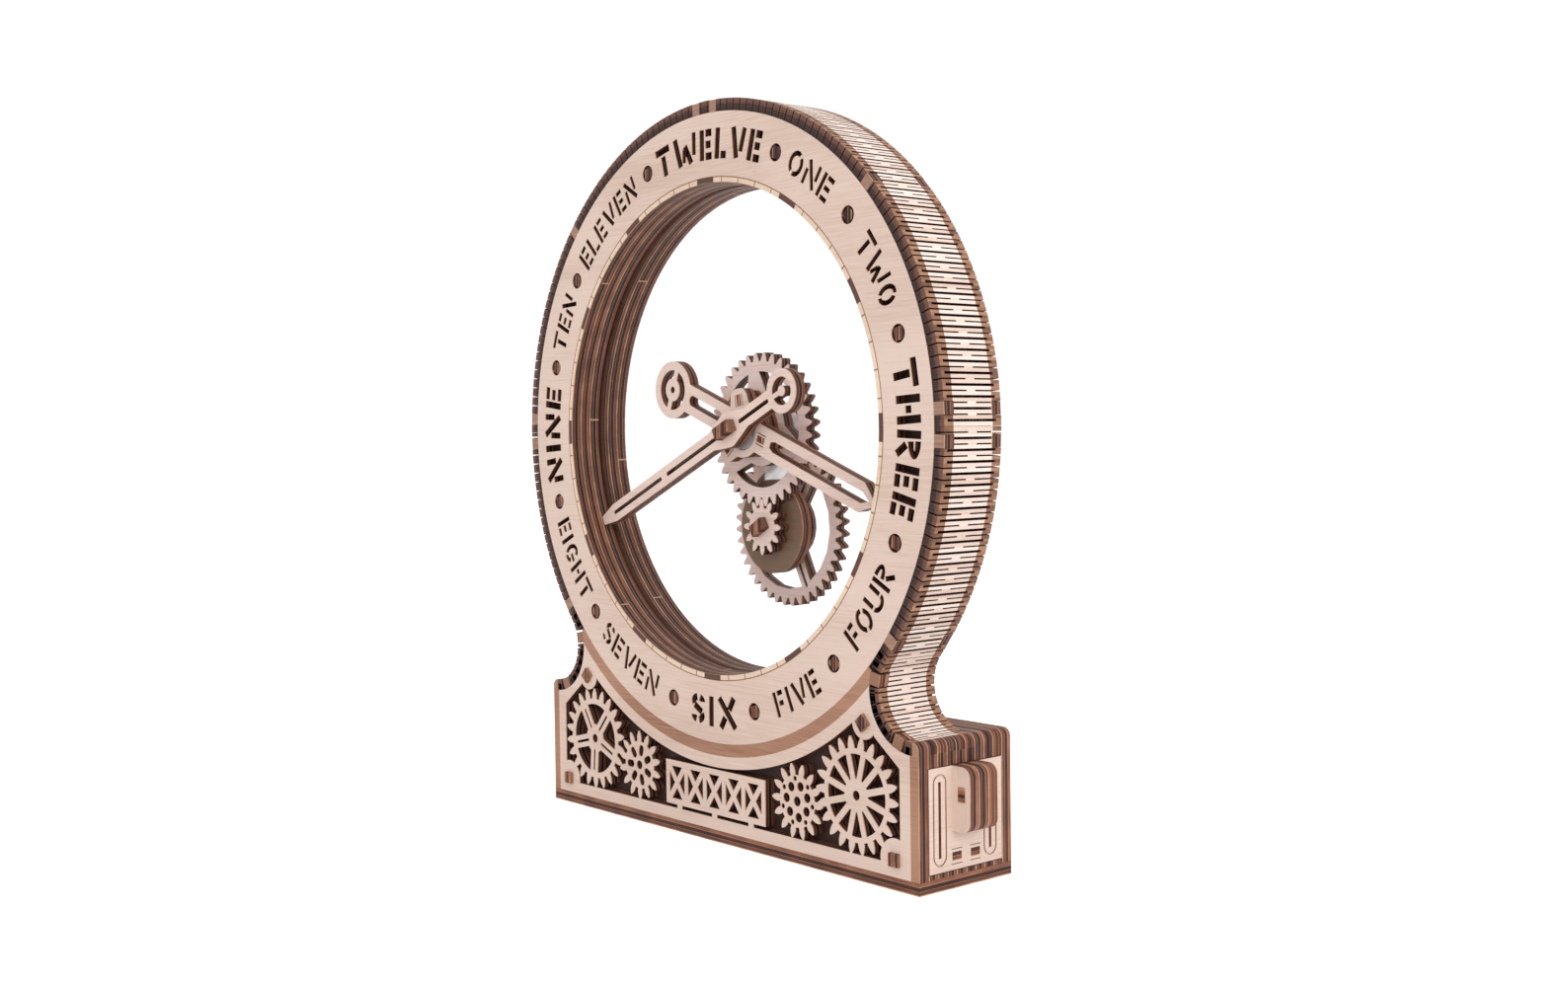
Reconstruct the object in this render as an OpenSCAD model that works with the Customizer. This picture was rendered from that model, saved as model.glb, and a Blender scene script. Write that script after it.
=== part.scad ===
// Wooden gear clock: a ring of glued plywood sheets on a fretted base,
// with two hands carried by a clear turning disc and a hanging gear train.
// X is right, Y is away from the dial, Z is up. The origin is the middle
// of the underside of the base, on the table. All sizes are millimetres.

/* [Overall] */
// Width of the base
base_w = 145; // [138:1:152]
// Height of the base above the table
base_h = 34; // [33:0.5:36]
// Height of the dial axis above the table
axis_h = 103.5; // [102:0.5:106]
// Thickness of one plywood sheet
sheet = 3; // [2.8:0.1:3.2]

/* [Ring and bent band] */
// Radius of the round opening
bore_r = 61.25; // [60:0.25:62]
// Radial width of the ring sheets
ring_w = 17.25; // [16.75:0.25:18]
// Outer radius of the small bend between band and base top
bend_r = 10.5; // [9:0.5:12]
// Radius of the base's top corners
corner_r = 2; // [1:0.25:3]
// Width of each tab that reaches through the band
tab_w = 2.9; // [2:0.1:4]

/* [Dial] */
// Radial width of the minute scale
scale_w = 1.45; // [1:0.05:2]
// Thickness of the inlaid strips
inlay_t = 0.6; // [0.4:0.1:1]
// Letter height of TWELVE, THREE, SIX and NINE
big_h = 7.6; // [6:0.2:8.4]
// Stroke width of those four words
big_s = 1.85; // [1.2:0.1:1.9]
// Letter height of the other words
small_h = 6.2; // [4.6:0.2:6.6]
// Stroke width of the other words
small_s = 1.2; // [0.8:0.1:1.3]
// Uncut bridge between the strokes of a letter
stencil_gap = 0.5; // [0.4:0.05:0.7]
// Side of the square dial pegs
peg_side = 3; // [2.4:0.1:3.2]

/* [Fretwork] */
// Width of the frame at the left and right of the fretwork
fret_side = 5.9; // [5:0.1:7]
// Height of the frame under the fretwork, above the base plate
fret_foot = 3; // [2.5:0.1:3.2]
// Width of the light strip that follows the dial
fret_arch = 3; // [2:0.1:3.6]
// Module of the fretwork gears
fret_m = 1.15; // [1.1:0.01:1.17]
// Width of the trellis strips
lattice_s = 1.5; // [1.2:0.1:2]
// Length of the trellis
lattice_w = 40; // [34:1:42]
// Height of the trellis
lattice_h = 11.4; // [9:0.2:12]

/* [Gears] */
// Module of the driving gears
gear_m = 1; // [0.95:0.01:1.02]
// Tooth height above the pitch circle, in modules
tooth_add = 0.9; // [0.8:0.02:0.92]
// Tooth depth below the pitch circle, in modules
tooth_ded = 1.2; // [1.1:0.02:1.25]
// Play taken off each tooth at the pitch circle
tooth_play = 0.12; // [0.08:0.01:0.2]
// Rim width of the hour wheel, inside its teeth
wheel_rim = 2.6; // [2:0.1:3.2]
// Rim width of the large lower gear, inside its teeth
gear_rim = 2.3; // [2:0.1:3]

/* [Hands] */
// Gap between the minute hand's tip and the round opening
tip_gap = 0.65; // [0.5:0.05:4]
// Width of the minute hand
minute_w = 4.8; // [4.2:0.1:5.4]
// Radius of the disc on the minute hand's tail
minute_disc_r = 5.5; // [4.8:0.1:6]
// Length of the hour hand from its axis
hour_len = 51.8; // [46:0.2:54]
// Width of the hour hand
hour_w = 7.5; // [7:0.1:8]
// Radius of the disc on the hour hand's tail
hour_disc_r = 7.6; // [7:0.1:8.2]
// Width of the long slots in the minute hand
slot_w = 1.1; // [0.8:0.1:1.4]

/* [Clear disc and arbors] */
// Thickness of the clear disc
disc_t = 1.4; // [1.2:0.1:1.6]
// Thickness of the clear hanging link
link_t = 2; // [1.8:0.1:2.2]
// Width of the clear hanging link
link_w = 12; // [11:0.5:14]
// Radius of the main arbor
arbor_r = 3.5; // [3.4:0.05:3.6]
// Radius of the lower arbor
lower_r = 3; // [2.8:0.05:3.1]
// Running clearance of an arbor in its bore, on the radius
run_gap = 0.08; // [0.04:0.01:0.1]
// Radius of the counterweight disc
weight_r = 12.1; // [11:0.1:12.6]

/* [Drawer] */
// Height and width of the square drawer front
drawer_front = 24; // [23:0.2:24.4]
// Length of the drawer's tray
tray_len = 55.5; // [54:0.5:56]
// Gap around the drawer
drawer_gap = 0.2; // [0.15:0.05:0.3]
// How far the handle stands out
handle_out = 5.5; // [4.5:0.1:7]
// Height of the handle
handle_h = 14.7; // [12:0.1:16]
// Radius of the battery cell
cell_r = 7.1; // [7:0.05:7.25]

/* [Hidden] */
$fn = 96;

eps = 0.01;
// Sheet counts, front to back
ring_n = 6;
base_n = 10;
ring_d = ring_n * sheet;
base_d = base_n * sheet;
ring_r = bore_r + ring_w;
band_r = ring_r + sheet;

// Small bend: its centre is tangent to the band and to the base top
bend_z = base_h + bend_r;
bend_x = sqrt(pow(band_r + bend_r, 2) - pow(axis_h - bend_z, 2));
bend_a = atan2(bend_x, bend_z - axis_h);
horn_cut = 5;

tab_angles = [2.5, 46.7, 87.2, 92.3, 126.7];

// Dial
word_r = bore_r + 9.45;
peg_r = bore_r + 9.5;
peg_hole_r = peg_side * sqrt(2) / 2 + 0.01;
peg_angles = [22.4, 47.1, 73.05, 111.25, 140.2, 166.7, 193.3, 226.2, 254.15, 284.75, 305.8, 340.1];
// Each word: letters, first angle, last angle, big, read from inside
words = [
  ["TWELVE", -16.25, 17.8, true, false],
  ["ONE", 26.9, 40.5, false, false],
  ["TWO", 52.9, 67.3, false, false],
  ["THREE", 78, 106.4, true, false],
  ["FOUR", 116.3, 133.9, false, true],
  ["FIVE", 146, 160, false, true],
  ["SIX", 172.3, 187.1, true, true],
  ["SEVEN", 199.2, 221.2, false, true],
  ["EIGHT", 230.4, 249.8, false, true],
  ["NINE", 258.6, 280, true, false],
  ["TEN", 288.75, 301.7, false, false],
  ["ELEVEN", 310.2, 335.2, false, false]
];

// Fretwork
floor_z = sheet;
fret_z = floor_z + fret_foot;
arch_in = band_r + 0.1;
arch_out = band_r + 0.1 + fret_arch;
margin_w = 2.6;
big_teeth = 22;
small_teeth = 14;
big_tip = fret_m * (big_teeth / 2 + 0.92);
small_tip = fret_m * (small_teeth / 2 + 0.92);
big_x = base_w / 2 - fret_side - big_tip - 0.49;
big_z = fret_z + big_tip - 0.2;
small_x = big_x - 20.6;
small_z = fret_z + small_tip - 0.1;
fret_peg_hi = [bend_x - 15.4, bend_z - 7.9];
fret_peg_lo = [base_w / 2 - 7.5, floor_z + 4];
peg_out = 0.9;
peg_turn = 40;

// Gear train: 10 drives 40 and 12 drives 36, so the hour wheel turns once in twelve
arbor_teeth = 10;
large_teeth = 40;
front_teeth = 12;
hour_teeth = 36;
axis_gap = gear_m * (arbor_teeth + large_teeth) / 2;
hour_m = 2 * axis_gap / (front_teeth + hour_teeth);
lower_z = axis_h - axis_gap;
pressure = 25;
key_w = 3;
key_l = 2 * sqrt(arbor_r * arbor_r - key_w * key_w / 4) - 0.025;
rear_key_l = 5;
lower_key_l = 2 * sqrt(lower_r * lower_r - key_w * key_w / 4) - 0.1;

// Hidden drive: the disc's toothed rim, an idler under it, the drive pinion under that
rim_teeth = round(2 * (bore_r + 3.75) / gear_m);
drive_teeth = 12;
drive_h = 20.5;
guide_teeth = 10;
rim_pr = rim_teeth * gear_m / 2;
rim_tip = rim_pr + tooth_add * gear_m;
drive_pr = drive_teeth * gear_m / 2;
idler_teeth = max(8, round((axis_h - rim_pr - drive_pr - drive_h) / gear_m));
idler_pr = idler_teeth * gear_m / 2;
guide_pr = guide_teeth * gear_m / 2;
idler_z = axis_h - rim_pr - idler_pr;
drive_z = idler_z - idler_pr - drive_pr;
guide_c = rim_pr + guide_pr;
guide_a = 120;
pin_r = 1.5;
tooth_gap = 0.4;

// Depths from the front face
side_gap = 0.1;
rim_d0 = 3 * sheet + side_gap;
rim_t = sheet - 2 * side_gap;
disc_r = bore_r + 1.75;
disc_d1 = rim_d0 + disc_t;
minute_d0 = rim_d0 - sheet;
key_d0 = minute_d0 - 2.5;
hour_d0 = disc_d1 + 0.3;
spacer_d0 = hour_d0 + sheet;
wheel_d0 = spacer_d0 + sheet;
weight_d0 = wheel_d0 + sheet + 0.3;
large_hub_r = weight_r - 3.9;
link_d0 = weight_d0 + sheet;
large_d0 = link_d0 + link_t + 0.2;
train_d1 = large_d0 + sheet;
washer_t = 1.4;
bushing_r = 5.2;

// Pose of the hands: clockwise from twelve
minute_a = 246;
hour_a = 110.5;
minute_tip = bore_r - tip_gap;
minute_slots = [[4.8, 0.47 * minute_tip], [0.51 * minute_tip, 0.908 * minute_tip], [-17.4, -4.6]];
minute_disc_u = -22.8;
hour_disc_u = -31;
lobe_r = 7.6;
tenon_w = 1.7;

// Base cavity and drawer
cav_left = base_w / 2 - 6;
cav_shoulder = base_w / 2 - 14.5;
cav_floor = floor_z + 1;
panel_x = base_w / 2 - sheet;
open_z1 = cav_floor + drawer_front;
panel_d0 = sheet + drawer_gap;
panel_d1 = (base_n - 1) * sheet - drawer_gap;
tray_x0 = panel_x - tray_len;
tray_d0 = 2 * sheet + 0.4;
tray_d1 = (base_n - 1) * sheet - 0.4;
tray_t = 2;
floor_z0 = cav_floor + 2.2;
slit_d = [6.6, base_d - 7.1];
tongue_d = [3.5 * sheet, 5.5 * sheet];
wall_h = 11.8;
handle_d0 = 3.5 * sheet;
handle_z1 = open_z1 - drawer_gap;
cell_len = 50;
cell_d = (tray_d0 + tray_d1) / 2;
cell_z = floor_z0 + tray_t + cell_r + 0.05;
motor_gap = 2;
motor_w = 2 * (tray_x0 - motor_gap);
motor_d0 = 4 * sheet + 0.3;
motor_d1 = (base_n - 1) * sheet - 0.2;
motor_h = axis_h - ring_r - cav_floor - 0.5;
knob_r = 8;
board_l = 30;
board_w = 14;
board_t = 1.6;
board_d = 2 * sheet + 2;
board_x = -motor_w / 2 - 10 - board_l;

function yd(d) = d - base_d / 2;
function inv_deg(a) = tan(a) * 180 / PI - a;
function at_angle(r, a) = [r * cos(a), r * sin(a)];

// Angle of a gear's tooth so that it meshes with another gear's teeth
function mesh_phase(z1, phase1, line, z2) =
  let (u = (line - phase1) * z1 / 360, f = u - floor(u))
  line + 180 - (0.5 - f) * 360 / z2;

function flank(r, rp, rb, z, play) =
  90 / z - play / 2 / rp * 180 / PI + inv_deg(pressure) - inv_deg(acos(min(1, rb / r)));

function gear_points(z, m, add, ded, play, phase, n = 3) =
  let (
    rp = z * m / 2,
    rb = rp * cos(pressure),
    ra = rp + add * m,
    rf = rp - ded * m,
    r0 = max(rb, rf),
    rooted = rb > rf + 0.02
  )
  [
    for (i = [0:z - 1])
      let (c = phase + i * 360 / z)
      for (p = concat(
        rooted ? [at_angle(rf, c - flank(r0, rp, rb, z, play))] : [],
        [for (k = [0:n]) let (r = r0 + (ra - r0) * k / n) at_angle(r, c - flank(r, rp, rb, z, play))],
        [for (k = [n:-1:0]) let (r = r0 + (ra - r0) * k / n) at_angle(r, c + flank(r, rp, rb, z, play))],
        rooted ? [at_angle(rf, c + flank(r0, rp, rb, z, play))] : []
      )) p
  ];

// Profile in the dial's plane, extruded away from the front face
module at_depth(d, t) {
  translate([0, yd(d + t), 0])
    rotate([90, 0, 0])
      linear_extrude(height = t)
        children();
}

// Profile in the side's plane (depth, height), extruded to the right
module at_side(x, t) {
  translate([x, 0, 0])
    rotate([90, 0, 90])
      linear_extrude(height = t)
        children();
}

module on_axis() {
  translate([0, axis_h])
    children();
}

module on_lower() {
  translate([0, lower_z])
    children();
}

// Places a profile at a clockwise angle and a radius
module clockwise(a, r = 0) {
  rotate(-a)
    translate([0, r])
      children();
}

module gear_2d(z, m, phase, n = 3) {
  polygon(gear_points(z, m, tooth_add, tooth_ded, tooth_play, phase, n));
}

module centred_rect(w, h) {
  translate([-w / 2, -h / 2])
    square([w, h]);
}

// Slot along the pointing direction, from u0 to u1, with round ends
module long_slot(u0, u1, w) {
  translate([-w / 2, u0 + w / 2])
    square([w, u1 - u0 - w]);
  translate([0, u0 + w / 2])
    circle(w / 2);
  translate([0, u1 - w / 2])
    circle(w / 2);
}

// Ring and base outlines

module tabs_2d() {
  for (a = tab_angles, s = [-1, 1])
    rotate(-s * a)
      translate([-tab_w / 2, ring_r - 1])
        square([tab_w, sheet + 0.9]);
}

module peg_holes_2d() {
  for (a = peg_angles)
    clockwise(a, peg_r)
      circle(peg_hole_r);
}

module ring_2d(r_in) {
  difference() {
    circle(ring_r);
    circle(r_in);
    peg_holes_2d();
  }
}

function horn(side) =
  let (
    ux = sin(bend_a),
    uz = cos(bend_a),
    px = ring_r * ux + horn_cut * uz,
    pz = axis_h + ring_r * uz - horn_cut * ux
  )
  [px + side * 3 * ux, pz + side * 3 * uz];

module base_outline_2d() {
  hw = base_w / 2;
  top = base_h - sheet;
  out = horn(1);
  inn = horn(-1);
  difference() {
    polygon([
      [-hw, floor_z], [hw, floor_z], [hw, top], [bend_x, top], [bend_x, bend_z], out, inn,
      [0, axis_h],
      [-inn[0], inn[1]], [-out[0], out[1]], [-bend_x, bend_z], [-bend_x, top], [-hw, top]
    ]);
    on_axis()
      circle(ring_r);
    for (s = [-1, 1])
      translate([s * bend_x, bend_z])
        circle(bend_r + sheet);
  }
}

module rear_outline_2d() {
  hw = base_w / 2;
  translate([-hw, floor_z])
    square([base_w, base_h - floor_z - corner_r]);
  translate([-hw + corner_r, base_h - corner_r - eps])
    square([base_w - 2 * corner_r, corner_r + eps]);
  for (s = [-1, 1])
    translate([s * (hw - corner_r), base_h - corner_r])
      circle(corner_r);
}

// Way for the drawer through the right side
module drawer_way_2d(inset = 2) {
  translate([panel_x - inset, cav_floor])
    square([sheet + inset + 1, open_z1 - cav_floor]);
}

// Hollow of the front sheets, under the dial
module cavity_front_2d() {
  difference() {
    polygon([
      [-cav_left, cav_floor], [panel_x, cav_floor], [panel_x, open_z1],
      [cav_shoulder, open_z1 + 2], [-cav_shoulder, open_z1 + 2], [-cav_left, open_z1]
    ]);
    on_axis()
      circle(ring_r + 4);
  }
  translate([-motor_w / 2 - 1.5, cav_floor])
    square([motor_w + 3, axis_h - ring_r - cav_floor + 3]);
}

module cavity_rear_2d() {
  translate([-cav_left, cav_floor])
    square([cav_left + panel_x, base_h - 4 - cav_floor]);
}

module fret_peg_spots() {
  for (s = [-1, 1]) {
    translate([s * fret_peg_hi[0], fret_peg_hi[1]])
      rotate(s * peg_turn)
        children();
    translate([s * fret_peg_lo[0], fret_peg_lo[1]])
      children();
  }
}

module fret_opening_2d() {
  ix = base_w / 2 - fret_side;
  difference() {
    polygon([
      [-ix, fret_z], [ix, fret_z], [ix, 27.6], [ix - 7.8, 33.6], [52, 42], [0, 60],
      [-52, 42], [-ix + 7.8, 33.6], [-ix, 27.6]
    ]);
    on_axis()
      circle(arch_out);
    for (s = [-1, 1]) {
      translate([s * fret_peg_hi[0], fret_peg_hi[1]])
        circle(3.9);
      translate([s * fret_peg_lo[0], fret_peg_lo[1]])
        circle(4.8);
    }
  }
}

// Fretwork gears, cut from the same sheet as their frame

module fret_gear_2d(z, phase) {
  polygon(gear_points(z, fret_m, 0.92, 1.5, 0.25, phase, 2));
}

module sector_window(r0, r1, a0, a1, n = 6) {
  polygon(concat(
    [for (i = [0:n]) at_angle(r1, 90 - (a0 + (a1 - a0) * i / n))],
    [for (i = [n:-1:0]) at_angle(r0, 90 - (a0 + (a1 - a0) * i / n))]
  ));
}

// Windows between straight spokes of width w, set to turn clockwise from phase
module spoke_windows(count, r0, r1, w, phase) {
  step = 360 / count;
  g0 = asin(w / 2 / r0);
  g1 = asin(w / 2 / r1);
  for (i = [0:count - 1])
    rotate(-(phase + i * step))
      polygon(concat(
        [for (k = [0:6]) at_angle(r1, 90 - (g1 + (step - 2 * g1) * k / 6))],
        [for (k = [6:-1:0]) at_angle(r0, 90 - (g0 + (step - 2 * g0) * k / 6))]
      ));
}

module fret_big_left_2d() {
  difference() {
    fret_gear_2d(big_teeth, 90);
    spoke_windows(5, 3.9, 9.45, 3.4, 40.5);
    for (i = [0:4])
      clockwise(40.5 + 72 * i)
        long_slot(3, 8.9, 0.7);
    circle(1.2);
  }
}

module fret_big_right_2d() {
  difference() {
    fret_gear_2d(big_teeth, 90 + 8);
    spoke_windows(12, 3.9, 9.6, 1.6, 14.6);
    circle(1.15);
  }
}

module fret_small_left_2d() {
  difference() {
    fret_gear_2d(small_teeth, 90);
    for (i = [0:6])
      clockwise(12 + i * 360 / 7)
        long_slot(2.4, 5.5, 1.9);
    circle(1.2);
  }
}

module fret_small_right_2d() {
  difference() {
    fret_gear_2d(small_teeth, 90 + 12.8);
    circle(1.2);
    for (i = [0:6])
      clockwise(18.5 + i * 360 / 7, 3.85)
        circle(1.15);
    for (i = [0:6])
      clockwise(-7.2 + i * 360 / 7, 5.45)
        circle(0.62);
  }
}

// Plain trellis in the middle of the fretwork
module lattice_2d() {
  cells = 5;
  cell_w = (lattice_w - lattice_s) / cells;
  z0 = fret_z + 0.9;
  difference() {
    translate([-lattice_w / 2, z0])
      square([lattice_w, lattice_h]);
    for (i = [0:cells - 1])
      translate([-lattice_w / 2 + lattice_s / 2 + cell_w * (i + 0.5), z0 + lattice_h / 2])
        lattice_holes(cell_w - lattice_s, lattice_h - 2 * lattice_s);
  }
  for (x = [-0.36, 0, 0.36])
    translate([x * lattice_w - 1, fret_z - 0.2])
      square([2, 1.3]);
}

// Four triangles left by a crossed pair of strips
module lattice_holes(w, h) {
  l = sqrt(w * w + h * h);
  gx = lattice_s * l / h / 2;
  gz = lattice_s * l / w / 2;
  for (s = [-1, 1]) {
    polygon([[s * gx, 0], [s * w / 2, h / 2 - gz], [s * w / 2, -h / 2 + gz]]);
    polygon([[0, s * gz], [w / 2 - gx, s * h / 2], [-w / 2 + gx, s * h / 2]]);
  }
}

module front_fret_2d() {
  difference() {
    base_outline_2d();
    fret_opening_2d();
    fret_peg_spots()
      centred_rect(peg_side, peg_side);
  }
  translate([-big_x, big_z])
    fret_big_left_2d();
  translate([big_x, big_z])
    fret_big_right_2d();
  translate([-small_x, small_z])
    fret_small_left_2d();
  translate([small_x, small_z])
    fret_small_right_2d();
  lattice_2d();
}

// Brown inlaid strips beside the fretwork
module fret_inlay_2d() {
  intersection() {
    base_outline_2d();
    on_axis()
      difference() {
        circle(arch_in);
        circle(ring_r - 1);
      }
  }
  for (s = [-1, 1])
    translate([s * (base_w / 2 - margin_w / 2), (floor_z + base_h - sheet) / 2])
      centred_rect(margin_w, base_h - sheet - floor_z);
}

// Hour words: strokes of the letters, as a stencil

module stroke(x0, y0, x1, y1, s) {
  dx = x1 - x0;
  dy = y1 - y0;
  translate([x0, y0])
    rotate(atan2(dy, dx))
      translate([0, -s / 2])
        square([sqrt(dx * dx + dy * dy), s]);
}

// Piece of an oval outline with its middle at cx, cy
module bow(cx, cy, rx, ry, s, a0, a1, n = 10) {
  polygon(concat(
    [for (i = [0:n]) let (a = a0 + (a1 - a0) * i / n) [cx + rx * cos(a), cy + ry * sin(a)]],
    [for (i = [n:-1:0])
      let (a = a0 + (a1 - a0) * i / n)
      [cx + (rx - s) * cos(a), cy + (ry - s) * sin(a)]]
  ));
}

function letter_w(c) =
  c == "I" ? 0.34 : c == "W" ? 1.55 : c == "L" || c == "F" ? 0.74 :
  c == "E" || c == "S" ? 0.8 : c == "X" ? 1.1 : 0.98;
letter_gap = 0.22;
function letter_x(s, i) = i == 0 ? 0 : letter_x(s, i - 1) + letter_w(s[i - 1]) + letter_gap;
function word_w(s) = letter_x(s, len(s) - 1) + letter_w(s[len(s) - 1]);

// One letter with its lower left corner at the origin
module letter(c, w, h, s) {
  g = stencil_gap;
  e = s / 2;
  if (c == "T") {
    stroke(0, h - e, w, h - e, s);
    stroke(w / 2, 0, w / 2, h - s - g, s);
  }
  if (c == "E" || c == "F" || c == "L")
    stroke(e, 0, e, h, s);
  if (c == "E" || c == "L")
    stroke(s + g, e, w, e, s);
  if (c == "E" || c == "F") {
    stroke(s + g, h - e, w, h - e, s);
    stroke(s + g, h / 2, w * 0.92, h / 2, s);
  }
  if (c == "I")
    stroke(w / 2, 0, w / 2, h, s);
  if (c == "H") {
    stroke(e, 0, e, h, s);
    stroke(w - e, 0, w - e, h, s);
    stroke(s + g, h / 2, w - s - g, h / 2, s);
  }
  if (c == "N") {
    stroke(e, h * 0.98, w - e, h * 0.02, s);
    stroke(e, 0, e, h * 0.62, s * 0.9);
    stroke(w - e, h * 0.38, w - e, h, s * 0.9);
  }
  if (c == "V") {
    stroke(e, h, w / 2, h * 0.02, s);
    stroke(w / 2 + e * 1.5, h * 0.24, w - e * 0.7, h, s * 0.9);
  }
  if (c == "W") {
    stroke(e, h, w * 0.27, h * 0.02, s);
    stroke(w * 0.27 + e * 1.6, h * 0.12, w * 0.47, h * 0.55, s * 0.8);
    stroke(w * 0.51, h * 0.66, w * 0.73, h * 0.02, s);
    stroke(w * 0.73 + e * 1.4, h * 0.26, w - e * 0.6, h, s * 0.85);
  }
  if (c == "O") {
    bow(w / 2, h / 2, w / 2, h / 2, s, 65, 238);
    bow(w / 2, h / 2, w / 2, h / 2, s, 258, 405);
  }
  if (c == "U") {
    stroke(e, h * 0.4, e, h, s);
    stroke(w - e, h * 0.4, w - e, h, s);
    bow(w / 2, h * 0.32, w / 2, h * 0.32, s, 180, 360);
  }
  if (c == "G") {
    bow(w / 2, h / 2, w / 2, h / 2, s, 40, 232);
    bow(w / 2, h / 2, w / 2, h / 2, s, 252, 325);
    stroke(w * 0.52, h * 0.46, w, h * 0.46, s * 0.9);
  }
  if (c == "S") {
    bow(w / 2, h * 0.73, w / 2, h * 0.27, s, 105, 215);
    bow(w / 2, h * 0.73, w / 2, h * 0.27, s, 8, 75);
    stroke(w * 0.21, h * 0.6, w * 0.79, h * 0.4, s);
    bow(w / 2, h * 0.27, w / 2, h * 0.27, s, -75, 35);
    bow(w / 2, h * 0.27, w / 2, h * 0.27, s, -172, -105);
  }
  if (c == "R") {
    stroke(e, 0, e, h, s);
    bow(s + g, h * 0.73, w - s - g, h * 0.27, s, -88, 90);
    stroke(w * 0.5, h * 0.4, w - e, 0, s);
  }
  if (c == "X") {
    stroke(e, h, w - e, 0, s);
    stroke(e, 0, w * 0.38, h * 0.36, s);
    stroke(w - e, h, w * 0.6, h * 0.6, s);
  }
}

module word_2d(word) {
  s = word[0];
  span = word[2] - word[1];
  h = word[3] ? big_h : small_h;
  w = word[3] ? big_s : small_s;
  unit = 2 * word_r * sin(span / 2) / word_w(s) * 1.02;
  for (i = [0:len(s) - 1]) {
    mid = (letter_x(s, i) + letter_w(s[i]) / 2) / word_w(s);
    lw = letter_w(s[i]) * unit;
    clockwise(word[4] ? word[2] - mid * span : word[1] + mid * span, word_r)
      rotate(word[4] ? 180 : 0)
        translate([-lw / 2, -h / 2])
          letter(s[i], lw, h, w);
  }
}

// Base sheets

module base_plate() {
  color("saddlebrown")
    translate([-base_w / 2, -base_d / 2, 0])
      cube([base_w, base_d, sheet]);
}

module front_fret() {
  color("burlywood")
    difference() {
      at_depth(0, sheet)
        front_fret_2d();
      at_depth(-1, 1 + inlay_t)
        fret_inlay_2d();
    }
}

module fret_inlay() {
  color("peru")
    at_depth(0, inlay_t)
      fret_inlay_2d();
}

module fret_back() {
  color("sienna")
    at_depth(sheet, sheet)
      difference() {
        base_outline_2d();
        drawer_way_2d(drawer_gap);
        fret_peg_spots()
          centred_rect(peg_side, peg_side);
      }
}

module base_hollow_sheet(n, count) {
  color("saddlebrown")
    at_depth((n - 1) * sheet, count * sheet)
      difference() {
        base_outline_2d();
        cavity_front_2d();
        drawer_way_2d();
      }
}

module base_sheet_3() {
  base_hollow_sheet(3, 1);
}

module base_sheet_4() {
  base_hollow_sheet(4, 1);
}

module base_sheets_5_6() {
  base_hollow_sheet(5, 2);
}

module base_sheets_7_9() {
  color("saddlebrown")
    at_depth(ring_d, 3 * sheet)
      difference() {
        rear_outline_2d();
        cavity_rear_2d();
        drawer_way_2d();
      }
}

module back_plate() {
  color("burlywood")
    at_depth((base_n - 1) * sheet, sheet)
      difference() {
        rear_outline_2d();
        translate([0, drive_z])
          circle(knob_r + 0.8);
      }
}

module fret_pegs() {
  color("sienna")
    at_depth(-peg_out, 2 * sheet + peg_out)
      fret_peg_spots()
        centred_rect(peg_side, peg_side);
}

// Ring sheets

module dial_ring() {
  color("burlywood")
    difference() {
      at_depth(0, sheet)
        on_axis()
          difference() {
            union() {
              circle(ring_r);
              tabs_2d();
            }
            circle(bore_r);
            peg_holes_2d();
            for (word = words)
              word_2d(word);
          }
      at_depth(-1, 1 + inlay_t)
        on_axis()
          circle(bore_r + scale_w);
    }
}

module scale_2d() {
  difference() {
    circle(bore_r + scale_w);
    circle(bore_r);
  }
}

module hour_sectors_2d() {
  r = bore_r + 10;
  for (i = [0:11])
    rotate(30 * i)
      polygon([[0, 0], [r * cos(3), r * sin(3)], [r * cos(3), -r * sin(3)]]);
}

module minute_scale() {
  color("wheat")
    at_depth(0, inlay_t)
      on_axis()
        difference() {
          scale_2d();
          hour_sectors_2d();
        }
}

module hour_marks() {
  color("sienna")
    at_depth(0, inlay_t)
      on_axis()
        intersection() {
          scale_2d();
          hour_sectors_2d();
        }
}

module ring_sheet_2() {
  color("sienna")
    at_depth(sheet, sheet)
      on_axis()
        ring_2d(bore_r);
}

module ring_sheet_3() {
  color("saddlebrown")
    at_depth(2 * sheet, sheet)
      on_axis()
        difference() {
          ring_2d(bore_r);
          pin_holes_2d();
        }
}

module pin_holes_2d() {
  translate([0, -(rim_pr + idler_pr)])
    circle(pin_r);
  for (s = [-1, 1])
    clockwise(s * guide_a, guide_c)
      circle(pin_r);
}

module ring_track() {
  way = idler_pr + tooth_add * gear_m + tooth_gap;
  color("sienna")
    at_depth(3 * sheet, sheet)
      on_axis()
        difference() {
          ring_2d(rim_tip + tooth_gap);
          translate([0, -(rim_pr + idler_pr)])
            circle(way);
          translate([-way, -ring_r - 1])
            square([2 * way, ring_r + 1 - rim_pr - idler_pr]);
          for (s = [-1, 1])
            clockwise(s * guide_a, guide_c)
              circle(guide_pr + tooth_add * gear_m + tooth_gap);
        }
}

module ring_sheet_5() {
  color("saddlebrown")
    at_depth(4 * sheet, sheet)
      on_axis()
        difference() {
          ring_2d(bore_r);
          pin_holes_2d();
        }
}

module ring_rear() {
  color("burlywood")
    at_depth(5 * sheet, sheet)
      on_axis()
        difference() {
          union() {
            circle(ring_r);
            tabs_2d();
          }
          circle(bore_r);
          peg_holes_2d();
        }
}

module dial_pegs() {
  color("saddlebrown")
    at_depth(0.2, ring_d - 0.2)
      on_axis()
        for (a = peg_angles)
          clockwise(a, peg_r)
            centred_rect(peg_side, peg_side);
}

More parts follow.
